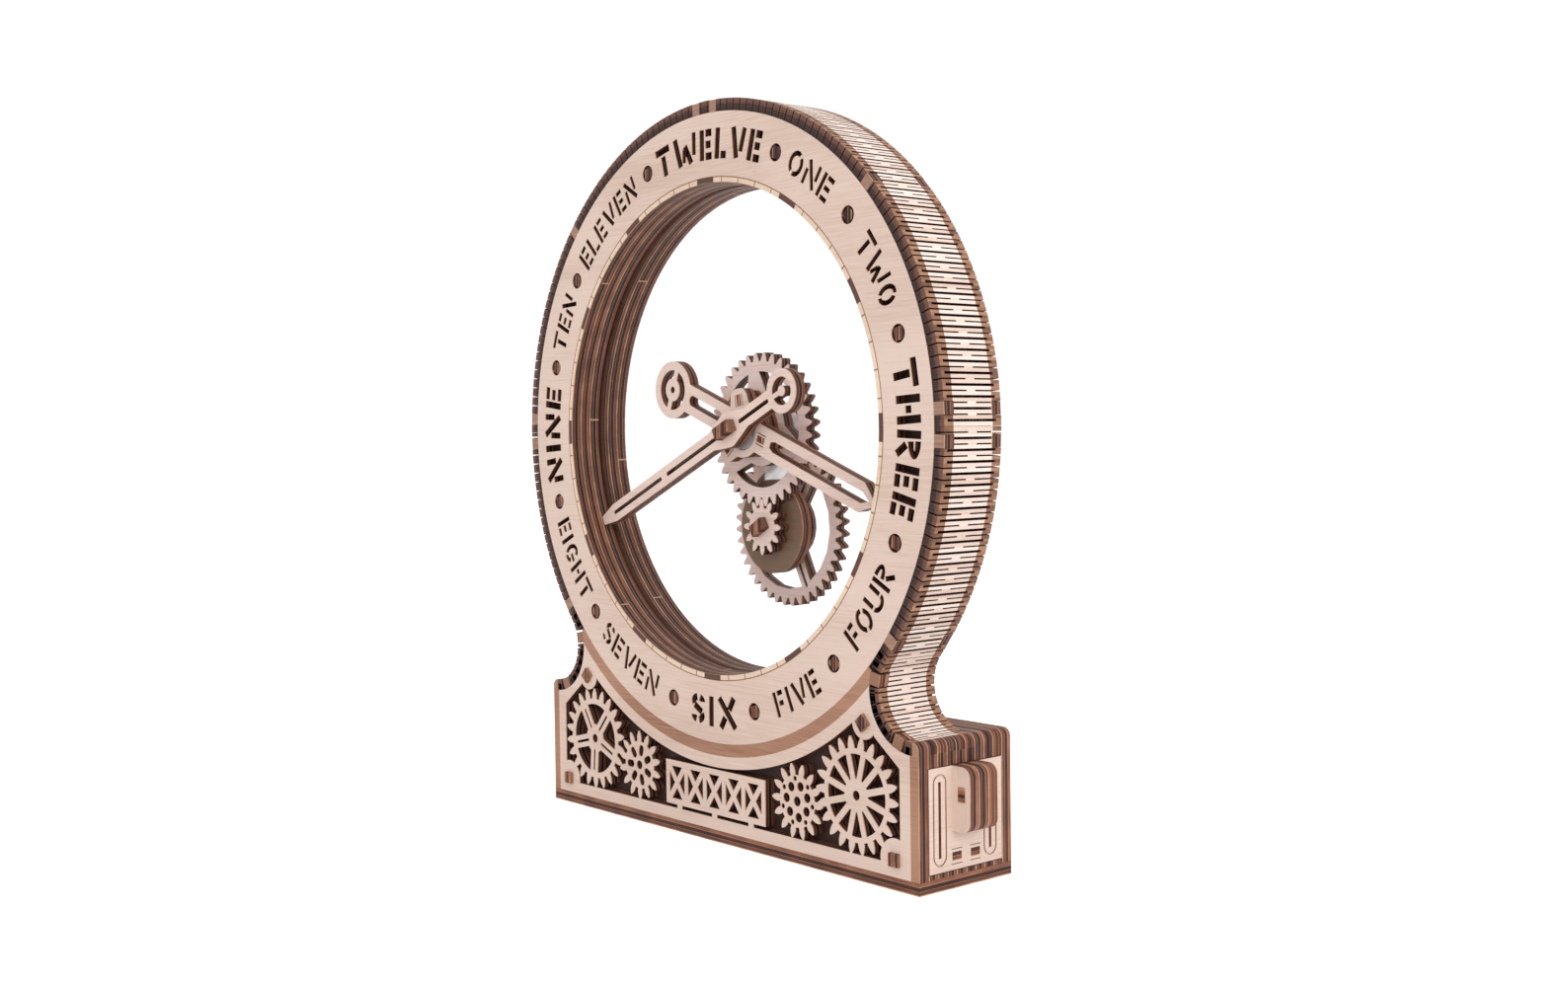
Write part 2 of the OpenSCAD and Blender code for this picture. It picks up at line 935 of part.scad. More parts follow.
// Bent band around the ring, in four pieces

module band_pie(a0, a1) {
  r = band_r * 1.6;
  polygon(concat(
    [[0, 0]],
    [for (i = [0:4]) at_angle(r, 90 - (a0 + (a1 - a0) * i / 4))]
  ));
}

module band_upper_2d(side) {
  on_axis()
    intersection() {
      difference() {
        circle(band_r);
        circle(ring_r);
      }
      band_pie(0, side * 90);
    }
}

module band_lower_2d() {
  c = [bend_x, bend_z];
  r = bend_r + 20;
  on_axis()
    intersection() {
      difference() {
        circle(band_r);
        circle(ring_r);
      }
      band_pie(90, bend_a);
    }
  intersection() {
    translate(c)
      difference() {
        circle(bend_r + sheet);
        circle(bend_r);
      }
    polygon([
      c, c + r * [-sin(bend_a), -cos(bend_a)], c + [-1.5 * r, 0], c + [-1.2 * r, -1.2 * r], c + [0, -1.5 * r]
    ]);
  }
  difference() {
    translate([bend_x, base_h - sheet])
      square([base_w / 2 - bend_x, sheet]);
    band_corner_2d();
  }
}

// Takes the sharp corner off the end of the band
module band_corner_2d() {
  k = min(corner_r, base_w / 2 - bend_x - 0.1);
  difference() {
    translate([base_w / 2 - k, base_h - k])
      square([k + 1, k + 1]);
    translate([base_w / 2 - k, base_h - k])
      circle(k);
  }
}

module band_cut(left) {
  color("peru")
    difference() {
      at_depth(0, ring_d)
        mirror([left ? 1 : 0, 0])
          children();
      at_depth(-1, sheet + 1)
        on_axis()
          tabs_2d();
      at_depth(ring_d - sheet, sheet + 1)
        on_axis()
          tabs_2d();
    }
}

module band_upper_right() {
  band_cut(false)
    band_upper_2d(1);
}

module band_upper_left() {
  band_cut(true)
    band_upper_2d(1);
}

module band_lower_right() {
  band_cut(false)
    band_lower_2d();
}

module band_lower_left() {
  band_cut(true)
    band_lower_2d();
}

// Clear disc, its toothed rim and everything that turns with it

module clear_disc() {
  color("lightcyan", 0.4)
    at_depth(rim_d0, disc_t)
      on_axis()
        difference() {
          circle(disc_r);
          circle(arbor_r);
        }
}

module disc_rim() {
  color("peru")
    difference() {
      at_depth(rim_d0, rim_t)
        on_axis()
          difference() {
            gear_2d(rim_teeth, gear_m, 270, 2);
            circle(bore_r);
          }
      at_depth(rim_d0 - 1, 1 + disc_t)
        on_axis()
          circle(disc_r);
    }
}

module clear_bushing() {
  color("lightcyan", 0.5)
    at_depth(disc_d1, wheel_d0 - disc_d1 - 0.2)
      on_axis()
        difference() {
          circle(bushing_r);
          circle(arbor_r);
        }
}

module main_arbor() {
  color("saddlebrown")
    on_depth_arbor(axis_h, arbor_r, key_d0, rim_d0, key_l, minute_a, large_d0 - 0.05, train_d1, rear_key_l);
}

// Round arbor with a flat key at each end
module on_depth_arbor(z, r, d0, d1, len0, turn, d2, d3, len1) {
  at_depth(d0, d1 - d0)
    translate([0, z])
      clockwise(turn + 90)
        centred_rect(len0, key_w);
  at_depth(d1, d2 - d1)
    translate([0, z])
      circle(r);
  at_depth(d2, d3 + washer_t + 0.1 - d2)
    translate([0, z])
      clockwise(turn + 90)
        centred_rect(len1, key_w);
}

module arbor_collar() {
  color("peru")
    at_depth(wheel_d0 + sheet + 0.15, sheet)
      on_axis()
        difference() {
          circle(arbor_r + 1.5);
          circle(arbor_r);
        }
}

module rear_pinion() {
  color("burlywood")
    at_depth(large_d0, sheet)
      on_axis()
        difference() {
          gear_2d(arbor_teeth, gear_m, 270);
          clockwise(minute_a + 90)
            centred_rect(rear_key_l, key_w);
        }
}

module washer_2d(len1) {
  difference() {
    circle(arbor_r + 1.3);
    clockwise(minute_a + 90)
      centred_rect(len1, key_w);
  }
}

module rear_washer() {
  color("peru")
    at_depth(train_d1, washer_t)
      on_axis()
        washer_2d(rear_key_l);
}

// Hands, drawn pointing up

module minute_profile_2d() {
  hw = minute_w / 2;
  difference() {
    union() {
      polygon([
        [-hw, minute_disc_u], [hw, minute_disc_u], [hw, minute_tip - 6], [1.2, minute_tip],
        [-1.2, minute_tip], [-hw, minute_tip - 6]
      ]);
      polygon([[-hw, -7.5], [hw, -7.5], [4.1, -2], [4.1, 2], [hw, 7.5], [-hw, 7.5], [-4.1, 2], [-4.1, -2]]);
      circle(4.5);
      translate([0, minute_disc_u])
        circle(minute_disc_r);
    }
    difference() {
      translate([0, minute_disc_u])
        circle(minute_disc_r - 2);
      translate([0, minute_disc_u])
        circle(1.3);
      translate([-0.6, minute_disc_u])
        square([1.2, 6]);
    }
    for (s = minute_slots)
      long_slot(s[0], s[1], slot_w);
    centred_rect(key_w, key_l);
  }
}

module minute_hand() {
  color("burlywood")
    at_depth(minute_d0, sheet)
      on_axis()
        clockwise(minute_a)
          minute_profile_2d();
}

// Radius of the smooth three-lobed hub at a clockwise angle from the hand
function hub_r(a, waist, reach, spread) =
  let (b = abs(((a + 60) % 120 + 120) % 120 - 60))
  waist + reach * exp(-pow(b / spread, 4));

module hub_2d(waist, reach, spread) {
  polygon([for (i = [0:89]) at_angle(hub_r(i * 4, waist, reach, spread), 90 - i * 4)]);
}

module tenons_2d(grow = 0) {
  for (i = [0:2])
    clockwise(i * 120, lobe_r)
      centred_rect(tenon_w + grow, 3 + grow);
}

module tenon_slits_2d() {
  for (i = [0:2], s = [-1, 1])
    clockwise(i * 120, lobe_r)
      translate([s * 1.4, 0])
        centred_rect(0.3, 3.2);
}

module hour_blade_2d() {
  hw = hour_w / 2;
  polygon([
    [-hw, hour_disc_u], [hw, hour_disc_u], [hw, hour_len - 5.2], [0.25, hour_len],
    [-0.25, hour_len], [-hw, hour_len - 5.2]
  ]);
}

// The arc slots of the tail disc are two half rings with a bridge between them
module hour_disc_slots_2d() {
  r0 = 3.05;
  r1 = hour_disc_r - 2.3;
  for (s = [0, 180])
    translate([0, hour_disc_u])
      rotate(s)
        polygon(concat(
          [for (k = [0:16]) at_angle(r1, 9 + 162 * k / 16)],
          [for (k = [0:12]) at_angle(r0, 165 - 150 * k / 12)]
        ));
}

module hour_slots_2d() {
  sw = hour_w / 2 - 2.35;
  polygon([
    [-sw, 13], [-0.75, 11.4], [0.75, 11.4], [sw, 13], [sw, hour_len - 5], [0, hour_len - 2.3],
    [-sw, hour_len - 5]
  ]);
  long_slot(hour_disc_u + hour_disc_r + 0.1, -9, 2 * sw);
  hour_disc_slots_2d();
  translate([0, hour_disc_u])
    circle(0.9);
  circle(bushing_r + run_gap);
  tenons_2d();
  tenon_slits_2d();
}

module hour_layer(d, t) {
  at_depth(d, t)
    on_axis()
      clockwise(hour_a)
        children();
}

module hour_hand() {
  color("burlywood")
    difference() {
      union() {
        hour_layer(hour_d0, sheet)
          hour_blade_2d();
        hour_layer(hour_d0, sheet)
          hub_2d(7.1, 3.5, 24);
        hour_layer(hour_d0, sheet)
          translate([0, hour_disc_u])
            circle(hour_disc_r);
      }
      hour_layer(hour_d0 - 1, sheet + 2)
        hour_slots_2d();
    }
}

module hour_spacer() {
  color("sienna")
    at_depth(spacer_d0, sheet)
      on_axis()
        clockwise(hour_a)
          difference() {
            hub_2d(7, 3.1, 17);
            circle(bushing_r + run_gap);
            tenons_2d();
          }
}

// Three spokes under the hour hand's lobes, each widening towards the hub
module hour_windows_2d() {
  r1 = hour_teeth * hour_m / 2 - tooth_ded * hour_m - wheel_rim;
  r0 = 9.4;
  for (i = [0:2])
    rotate(-(i * 120))
      polygon(concat(
        [for (k = [0:14]) at_angle(r1, 90 - (8 + 104 * k / 14))],
        [for (k = [0:8]) at_angle(r0, 90 - (94 - 68 * k / 8))]
      ));
}

module hour_wheel() {
  color("burlywood")
    at_depth(wheel_d0, sheet)
      on_axis()
        difference() {
          gear_2d(hour_teeth, hour_m, mesh_phase(front_teeth, 90, 90, hour_teeth));
          circle(arbor_r + run_gap);
          clockwise(hour_a) {
            hour_windows_2d();
            tenons_2d();
          }
        }
}

module hour_pegs() {
  color("saddlebrown")
    at_depth(hour_d0 + 0.1, 3 * sheet - 0.1)
      on_axis()
        clockwise(hour_a)
          tenons_2d();
}

// Hanging link with the lower arbor

module hanging_link() {
  color("lightcyan", 0.5)
    at_depth(link_d0, link_t)
      difference() {
        union() {
          translate([-link_w / 2, lower_z])
            square([link_w, axis_gap]);
          on_axis()
            circle(link_w / 2);
          on_lower()
            circle(link_w / 2);
        }
        on_axis()
          circle(arbor_r + run_gap);
        on_lower()
          circle(lower_r + run_gap);
      }
}

module counterweight() {
  color("olive")
    at_depth(weight_d0, sheet)
      on_lower()
        difference() {
          circle(weight_r);
          circle(lower_r + run_gap);
        }
}

module lower_arbor() {
  color("saddlebrown")
    on_depth_arbor(lower_z, lower_r, wheel_d0 - 2, weight_d0 - 0.1, lower_key_l, 60, large_d0 - 0.05,
      train_d1, lower_key_l);
}

module front_pinion() {
  color("burlywood")
    at_depth(wheel_d0, sheet)
      on_lower()
        difference() {
          gear_2d(front_teeth, hour_m, 90);
          clockwise(60 + 90)
            centred_rect(lower_key_l, key_w);
        }
}

// Large gear with a hub disc and three split spokes
module large_gear() {
  root = large_teeth * gear_m / 2 - tooth_ded * gear_m;
  color("tan")
    at_depth(large_d0, sheet)
      on_lower()
        difference() {
          gear_2d(large_teeth, gear_m, mesh_phase(arbor_teeth, 270, 270, large_teeth));
          spoke_windows(3, large_hub_r, root - gear_rim, 3.6, 34);
          for (i = [0:2])
            clockwise(34 + 120 * i)
              long_slot(large_hub_r - 1.2, root - gear_rim + 0.9, 0.9);
          clockwise(60 + 90)
            centred_rect(lower_key_l, key_w);
        }
}

module lower_washer() {
  color("peru")
    at_depth(train_d1, washer_t)
      on_lower()
        difference() {
          circle(lower_r + 1.6);
          clockwise(60 + 90)
            centred_rect(lower_key_l, key_w);
        }
}

// Drive inside the ring and base

module idler_pin() {
  color("silver")
    at_depth(2 * sheet, 3 * sheet)
      translate([0, idler_z])
        circle(pin_r);
}

module idler_gear() {
  color("ivory")
    at_depth(rim_d0, rim_t)
      translate([0, idler_z])
        difference() {
          gear_2d(idler_teeth, gear_m, mesh_phase(rim_teeth, 270, 270, idler_teeth));
          circle(pin_r + run_gap);
        }
}

module guide_pins() {
  color("silver")
    at_depth(2 * sheet, 3 * sheet)
      on_axis()
        for (s = [-1, 1])
          clockwise(s * guide_a, guide_c)
            circle(pin_r);
}

module guide_gear(s) {
  line = 90 - s * guide_a;
  color("ivory")
    at_depth(rim_d0, rim_t)
      on_axis()
        translate(at_angle(guide_c, line))
          difference() {
            gear_2d(guide_teeth, gear_m, mesh_phase(rim_teeth, 270, line, guide_teeth));
            circle(pin_r + run_gap);
          }
}

module guide_gear_right() {
  guide_gear(1);
}

module guide_gear_left() {
  guide_gear(-1);
}

module motor_body() {
  color("dimgray")
    at_depth(motor_d0, motor_d1 - motor_d0)
      difference() {
        translate([-motor_w / 2, cav_floor])
          square([motor_w, motor_h]);
        translate([0, drive_z])
          circle(pin_r + run_gap);
      }
}

module drive_arbor() {
  color("silver")
    at_depth(3 * sheet - 0.5, base_d - 2 - (3 * sheet - 0.5))
      translate([0, drive_z])
        circle(pin_r);
}

module drive_pinion() {
  color("ivory")
    at_depth(rim_d0, rim_t)
      translate([0, drive_z])
        difference() {
          gear_2d(drive_teeth, gear_m, mesh_phase(idler_teeth, mesh_phase(rim_teeth, 270, 270, idler_teeth),
            270, drive_teeth));
          circle(pin_r);
        }
}

module setting_knob() {
  grips = 20;
  color("sienna")
    at_depth((base_n - 1) * sheet + 0.1, sheet - 0.1 + peg_out)
      translate([0, drive_z])
        difference() {
          circle(knob_r);
          circle(pin_r);
          for (i = [0:grips - 1])
            clockwise(i * 360 / grips, knob_r + 0.35)
              circle(0.8);
        }
}

module driver_board() {
  color("darkgreen")
    translate([board_x, yd(board_d), cav_floor])
      cube([board_l, board_w, board_t]);
  color("black")
    translate([board_x + board_l / 3, yd(board_d + 4), cav_floor + board_t])
      cube([7, 6, 1.4]);
}

// Drawer with its battery cell

module drawer_panel() {
  color("burlywood")
    difference() {
      at_side(panel_x, sheet)
        difference() {
          translate([yd(panel_d0), cav_floor + drawer_gap])
            square([panel_d1 - panel_d0, drawer_front - 2 * drawer_gap]);
          for (d = slit_d)
            translate([yd(d), 16])
              centred_rect(0.8, 17.2);
          for (d = tongue_d)
            translate([yd(d), floor_z0])
              square([sheet, tray_t]);
          translate([yd(handle_d0), 17])
            square([3 * sheet, 7]);
        }
      for (d = slit_d)
        at_side(panel_x + sheet - 0.3, 1)
          translate([yd(d), 16])
            slit_outline_2d();
    }
}

// Shallow rounded line engraved around each slit
module slit_outline_2d() {
  difference() {
    slit_pill_2d(4.3);
    slit_pill_2d(3.5);
  }
}

module slit_pill_2d(w) {
  centred_rect(w, 20.8 - 4.3);
  for (s = [-1, 1])
    translate([0, s * (20.8 - 4.3) / 2])
      circle(w / 2);
}

module drawer_floor() {
  color("peru")
    translate([0, 0, floor_z0]) {
      translate([tray_x0, yd(tray_d0), 0])
        cube([tray_len, tray_d1 - tray_d0, tray_t]);
      for (d = tongue_d)
        translate([panel_x - eps, yd(d), 0])
          cube([sheet + eps, sheet, tray_t]);
    }
}

module drawer_walls() {
  color("peru")
    for (d = [tray_d0, tray_d1 - tray_t])
      translate([tray_x0, yd(d), floor_z0 + tray_t])
        cube([tray_len, tray_t, wall_h]);
}

module drawer_end() {
  color("peru")
    translate([tray_x0, yd(tray_d0 + tray_t), floor_z0 + tray_t])
      cube([tray_t, tray_d1 - tray_d0 - 2 * tray_t, wall_h]);
}

// Handle sheets, each with a tenon through the drawer front
module handle_2d() {
  x0 = panel_x + sheet;
  x1 = x0 + handle_out;
  z0 = handle_z1 - handle_h;
  r = 2.4;
  difference() {
    union() {
      translate([x0, z0])
        square([handle_out - r, handle_h]);
      translate([x1 - r - eps, z0 + r])
        square([r + eps, handle_h - 2 * r]);
      for (z = [z0 + r, handle_z1 - r])
        translate([x1 - r, z])
          circle(r);
      translate([panel_x, 17])
        square([sheet + eps, 7]);
    }
    handle_pin_2d();
  }
}

module handle_pin_2d() {
  translate([panel_x + sheet + 0.55 * handle_out, handle_z1 - 6.3])
    centred_rect(2, 3.4);
}

module handle_cheeks() {
  color("wheat")
    for (d = [handle_d0, handle_d0 + 2 * sheet])
      at_depth(d, sheet)
        handle_2d();
}

module handle_core() {
  color("sienna")
    at_depth(handle_d0 + sheet, sheet)
      handle_2d();
}

module handle_pin() {
  color("saddlebrown")
    at_depth(handle_d0 - 0.2, 3 * sheet + 0.4)
      handle_pin_2d();
}

module battery_cell() {
  color("gray")
    translate([tray_x0 + tray_t + 1, yd(cell_d), cell_z])
      rotate([0, 90, 0]) {
        cylinder(h = cell_len - 1, r = cell_r);
        translate([0, 0, cell_len - 1 - eps])
          cylinder(h = 1 + eps, r = 2.6);
      }
}

module cell_contacts() {
  x0 = tray_x0 + tray_t;
  x1 = x0 + 1 + cell_len;
  color("silver") {
    at_side(x0, 0.5)
      translate([yd(cell_d), cell_z])
        circle(5.2);
    at_side(x0 + 0.5, 0.5)
      translate([yd(cell_d), cell_z])
        circle(3);
    at_side(x1, 0.5)
      translate([yd(cell_d), cell_z])
        circle(5.2);
    at_side(x1 + 0.5, panel_x - x1 - 0.5)
      translate([yd(cell_d), cell_z])
        circle(3);
  }
}

base_plate();
front_fret();
fret_inlay();
fret_back();
base_sheet_3();
base_sheet_4();
base_sheets_5_6();
base_sheets_7_9();
back_plate();
fret_pegs();
dial_ring();
minute_scale();
hour_marks();
ring_sheet_2();
ring_sheet_3();
ring_track();
ring_sheet_5();
ring_rear();
dial_pegs();
band_upper_left();
band_upper_right();
band_lower_left();
band_lower_right();
clear_disc();
disc_rim();
clear_bushing();
main_arbor();
minute_hand();
arbor_collar();
rear_pinion();
rear_washer();
hour_hand();
hour_spacer();
hour_wheel();
hour_pegs();
hanging_link();
counterweight();
lower_arbor();
front_pinion();
large_gear();
lower_washer();
idler_pin();
idler_gear();
guide_pins();
guide_gear_right();
guide_gear_left();
motor_body();
drive_arbor();
drive_pinion();
setting_knob();
driver_board();
drawer_panel();
drawer_floor();
drawer_walls();
drawer_end();
handle_cheeks();
handle_core();
handle_pin();
battery_cell();
cell_contacts();
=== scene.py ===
"""Looks of the wooden gear clock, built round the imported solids.

Every sheet of wood is dressed as plywood with pale faces and burnt, layered edges. The bent band
is built anew from its thin bars, so that its pattern of slots is real. Lengths named ``_mm`` are
millimetres in the clock's own frame; everything handed to Blender is in metres.
"""

import logging
import math
from dataclasses import dataclass, field
from enum import Enum

import bmesh
import bpy
from mathutils import Matrix, Vector

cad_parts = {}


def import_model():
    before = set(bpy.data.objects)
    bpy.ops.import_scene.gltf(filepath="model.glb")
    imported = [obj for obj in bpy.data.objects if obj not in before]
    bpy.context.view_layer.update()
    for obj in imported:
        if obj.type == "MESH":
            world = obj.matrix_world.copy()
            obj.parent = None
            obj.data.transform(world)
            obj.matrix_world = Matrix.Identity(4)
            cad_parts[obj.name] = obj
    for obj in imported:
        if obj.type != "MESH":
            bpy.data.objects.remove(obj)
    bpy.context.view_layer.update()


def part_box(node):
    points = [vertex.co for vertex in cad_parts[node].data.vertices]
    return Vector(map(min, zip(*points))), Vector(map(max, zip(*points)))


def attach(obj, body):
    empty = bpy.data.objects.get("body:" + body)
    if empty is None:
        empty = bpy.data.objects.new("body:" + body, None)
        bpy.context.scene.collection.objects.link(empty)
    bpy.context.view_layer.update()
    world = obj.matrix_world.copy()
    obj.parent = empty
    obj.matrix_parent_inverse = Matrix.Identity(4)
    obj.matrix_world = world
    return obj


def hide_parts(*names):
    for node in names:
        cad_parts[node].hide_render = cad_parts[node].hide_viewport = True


LOG = logging.getLogger("gear_clock")

Tone = tuple[int, int, int]
Pair = tuple[float, float]
Triple = tuple[float, float, float]
Place = Triple
Stops = list[tuple[float, Tone]]
Socket = bpy.types.NodeSocket

MM = 0.001
MM_PER_METRE = 1000

# Sizes that several pieces share
RING_CENTRE_MM = 103.5
SHEET_MM = 3.0
FRONT_MM = -15.0

# Tones of the wood, from the pale veneer to the burnt cut
PALE: Tone = (229, 205, 191)
INNER: Tone = (208, 176, 152)
STAINED: Tone = (178, 134, 109)
BROWN: Tone = (150, 108, 86)
DARK: Tone = (120, 84, 68)
BURNT: Tone = (52, 31, 26)
CUT_STOPS: Stops = [
    (0.16, (34, 17, 14)),
    (0.38, (80, 42, 32)),
    (0.58, (122, 73, 54)),
    (0.80, (176, 122, 92)),
]

# How wood takes light: its shine, the relief of its grain, and how square to an axis a face is
WOOD_SHINE = 0.28
RELIEF_MM = 0.12
SQUARE_TO_AXIS = 0.6
ENGRAVED_RELIEF = 0.3
ENGRAVED_SHARE = 0.85


def linear(tone: Tone) -> tuple[float, float, float, float]:
    """Turns a display colour into the linear colour that shaders use.

    Args:
        tone: Red, green and blue from 0 to 255.

    Returns:
        The linear colour, fully opaque. The numbers are those of the standard display curve.
    """
    parts = [v / 255 for v in tone]
    return (*[p / 12.92 if p <= 0.04045 else ((p + 0.055) / 1.055) ** 2.4 for p in parts], 1.0)


def shade(tone: Tone, factors: Triple) -> Tone:
    """A tone with each of its colours made stronger or weaker."""
    return tuple(min(255, int(v * factor)) for v, factor in zip(tone, factors))


class Across(Enum):
    """The direction that a sheet's thickness or grain runs along."""

    X = 0
    Y = 1
    Z = 2

    def scale(self, own: float, others: float) -> Triple:
        """Waves in a millimetre: one value for this direction and another for the rest."""
        return tuple(own if i == self.value else others for i in range(3))


class Graph:
    """A node tree, with short calls that add and join its nodes."""

    def __init__(self, tree: bpy.types.NodeTree) -> None:
        """Takes the tree that nodes are added to."""
        self.tree = tree

    def node(self, kind: str, **settings: object) -> bpy.types.Node:
        """Adds a node.

        Args:
            kind: Blender's name of the node.
            **settings: Properties that are set on it.

        Returns:
            The new node.
        """
        made = self.tree.nodes.new(kind)
        for key, value in settings.items():
            setattr(made, key, value)
        return made

    def feed(self, value: object, socket: Socket) -> None:
        """Joins an output to a socket, or writes a plain value on it.

        Args:
            value: The output or the plain value.
            socket: The input that takes it.
        """
        if isinstance(value, bpy.types.NodeSocket):
            self.tree.links.new(value, socket)
        else:
            socket.default_value = value

    def sum(self, operation: str, *values: object, clamp: bool = False) -> Socket:
        """One step of arithmetic.

        Args:
            operation: Blender's name of the operation.
            *values: Outputs or numbers.
            clamp: Keeps the result between 0 and 1.

        Returns:
            The result's output.
        """
        made = self.node("ShaderNodeMath", operation=operation, use_clamp=clamp)
        for value, socket in zip(values, made.inputs):
            self.feed(value, socket)
        return made.outputs[0]

    def part(self, vector: Socket, axis: Across) -> Socket:
        """One component of a vector.

        Args:
            vector: The vector's output.
            axis: Which component.

        Returns:
            The component's output.
        """
        made = self.node("ShaderNodeSeparateXYZ")
        self.feed(vector, made.inputs[0])
        return made.outputs[axis.value]

    def vector(self, *parts: object) -> Socket:
        """A vector from up to three components.

        Args:
            *parts: Outputs or numbers for across, depth and up.

        Returns:
            The vector's output.
        """
        made = self.node("ShaderNodeCombineXYZ")
        for value, socket in zip(parts, made.inputs):
            self.feed(value, socket)
        return made.outputs[0]


class Shader(Graph):
    """One material's nodes, which end in a Principled shader."""

    def __init__(self, name: str) -> None:
        """Makes an empty material with a Principled shader.

        Args:
            name: The material's name.
        """
        self.material = bpy.data.materials.new(name)
        self.material.use_nodes = True
        super().__init__(self.material.node_tree)
        self.surface = self.tree.nodes["Principled BSDF"]
        self._place: bpy.types.Node | None = None

    def place(self, output: str = "Object") -> Socket:
        """The object's own coordinates, or its own normal.

        Args:
            output: Name of the output.

        Returns:
            The output.
        """
        if self._place is None:
            self._place = self.node("ShaderNodeTexCoord")
        return self._place.outputs[output]

    def stretch(self, scale: Triple) -> Socket:
        """Object coordinates in millimetres, stretched along each axis.

        Args:
            scale: The stretch for each axis.

        Returns:
            The stretched place.
        """
        made = self.node("ShaderNodeMapping")
        self.feed(self.place(), made.inputs["Vector"])
        made.inputs["Scale"].default_value = [MM_PER_METRE * s for s in scale]
        return made.outputs[0]

    def along(self, axis: Across) -> Socket:
        """The place along one axis, in millimetres."""
        return self.part(self.stretch((1, 1, 1)), axis)

    def facing(self, axis: Across) -> Socket:
        """1 where the surface is square to an axis, else 0."""
        turned = self.sum("ABSOLUTE", self.part(self.place("Normal"), axis))
        return self.sum("GREATER_THAN", turned, SQUARE_TO_AXIS)

    def near(self, value: Socket, middle: float, reach: float) -> Socket:
        """1 where a value is within reach of a middle, else 0."""
        return self.sum("COMPARE", value, middle, reach)

    def blend(self, share: object, first: object, second: object) -> Socket:
        """Mixes two colours.

        Args:
            share: How much of the second shows, from 0 to 1.
            first: The first colour.
            second: The second colour.

        Returns:
            The mixed colour.
        """
        made = self.node("ShaderNodeMix", data_type="RGBA")
        for value, index in ((share, 0), (first, 6), (second, 7)):
            self.feed(value, made.inputs[index])
        return made.outputs[2]

    def noise(self, scale: Triple, detail: float, rough: float = 0.55) -> Socket:
        """Noise from 0 to 1.

        Args:
            scale: Waves in a millimetre along each axis.
            detail: Octaves of finer noise.
            rough: How strongly the finer noise shows.

        Returns:
            The noise's output.
        """
        made = self.node("ShaderNodeTexNoise")
        values = {"Vector": self.stretch(scale), "Scale": 1.0, "Detail": detail, "Roughness": rough}
        for key, value in values.items():
            self.feed(value, made.inputs[key])
        return made.outputs[0]

    def chance(self, value: Socket) -> Socket:
        """A random number from 0 to 1 that belongs to a whole number.

        Args:
            value: The whole number.

        Returns:
            The random number's output.
        """
        made = self.node("ShaderNodeTexWhiteNoise", noise_dimensions="1D")
        self.feed(value, made.inputs["W"])
        return made.outputs["Value"]

    def attribute(self, name: str) -> Socket:
        """A number that the mesh carries."""
        return self.node("ShaderNodeAttribute", attribute_name=name).outputs["Fac"]

    def ramp(self, value: Socket, stops: Stops) -> Socket:
        """A colour from a row of stops.

        Args:
            value: Where on the row, from 0 to 1.
            stops: The row, as places and tones.

        Returns:
            The colour's output.
        """
        made = self.node("ShaderNodeValToRGB")
        while len(made.color_ramp.elements) < len(stops):
            made.color_ramp.elements.new(0.5)
        for element, (at, tone) in zip(made.color_ramp.elements, stops):
            element.position = at
            element.color = linear(tone)
        self.feed(value, made.inputs[0])
        return made.outputs[0]

    def paint(self, colour: Socket) -> None:
        """Gives the surface its colour."""
        self.feed(colour, self.surface.inputs["Base Color"])

    def bump(self, height: Socket, strength: float, distance_mm: float) -> None:
        """Gives the surface a relief.

        Args:
            height: The relief, from 0 to 1.
            strength: How much of it shows.
            distance_mm: Its height at 1.
        """
        made = self.node("ShaderNodeBump")
        values = {"Strength": strength, "Distance": distance_mm * MM, "Height": height}
        for key, value in values.items():
            self.feed(value, made.inputs[key])
        self.feed(made.outputs[0], self.surface.inputs["Normal"])

    def set(self, **values: object) -> None:
        """Writes plain values on the Principled shader, with _ for a space in the name."""
        for key, value in values.items():
            self.surface.inputs[key.replace("_", " ")].default_value = value


def ring_place(sh: Shader) -> tuple[Socket, Socket]:
    """Places across and up from the ring's centre line, in millimetres."""
    return sh.along(Across.X), sh.sum("SUBTRACT", sh.along(Across.Z), RING_CENTRE_MM)


def ring_radius(sh: Shader) -> Socket:
    """Distance from the ring's centre line, in millimetres."""
    squares = [sh.sum("MULTIPLY", way, way) for way in ring_place(sh)]
    return sh.sum("SQRT", sh.sum("ADD", *squares))


def ring_angle(sh: Shader) -> Socket:
    """Clockwise angle round the ring's centre line, in radians."""
    return sh.sum("ARCTAN2", *ring_place(sh))


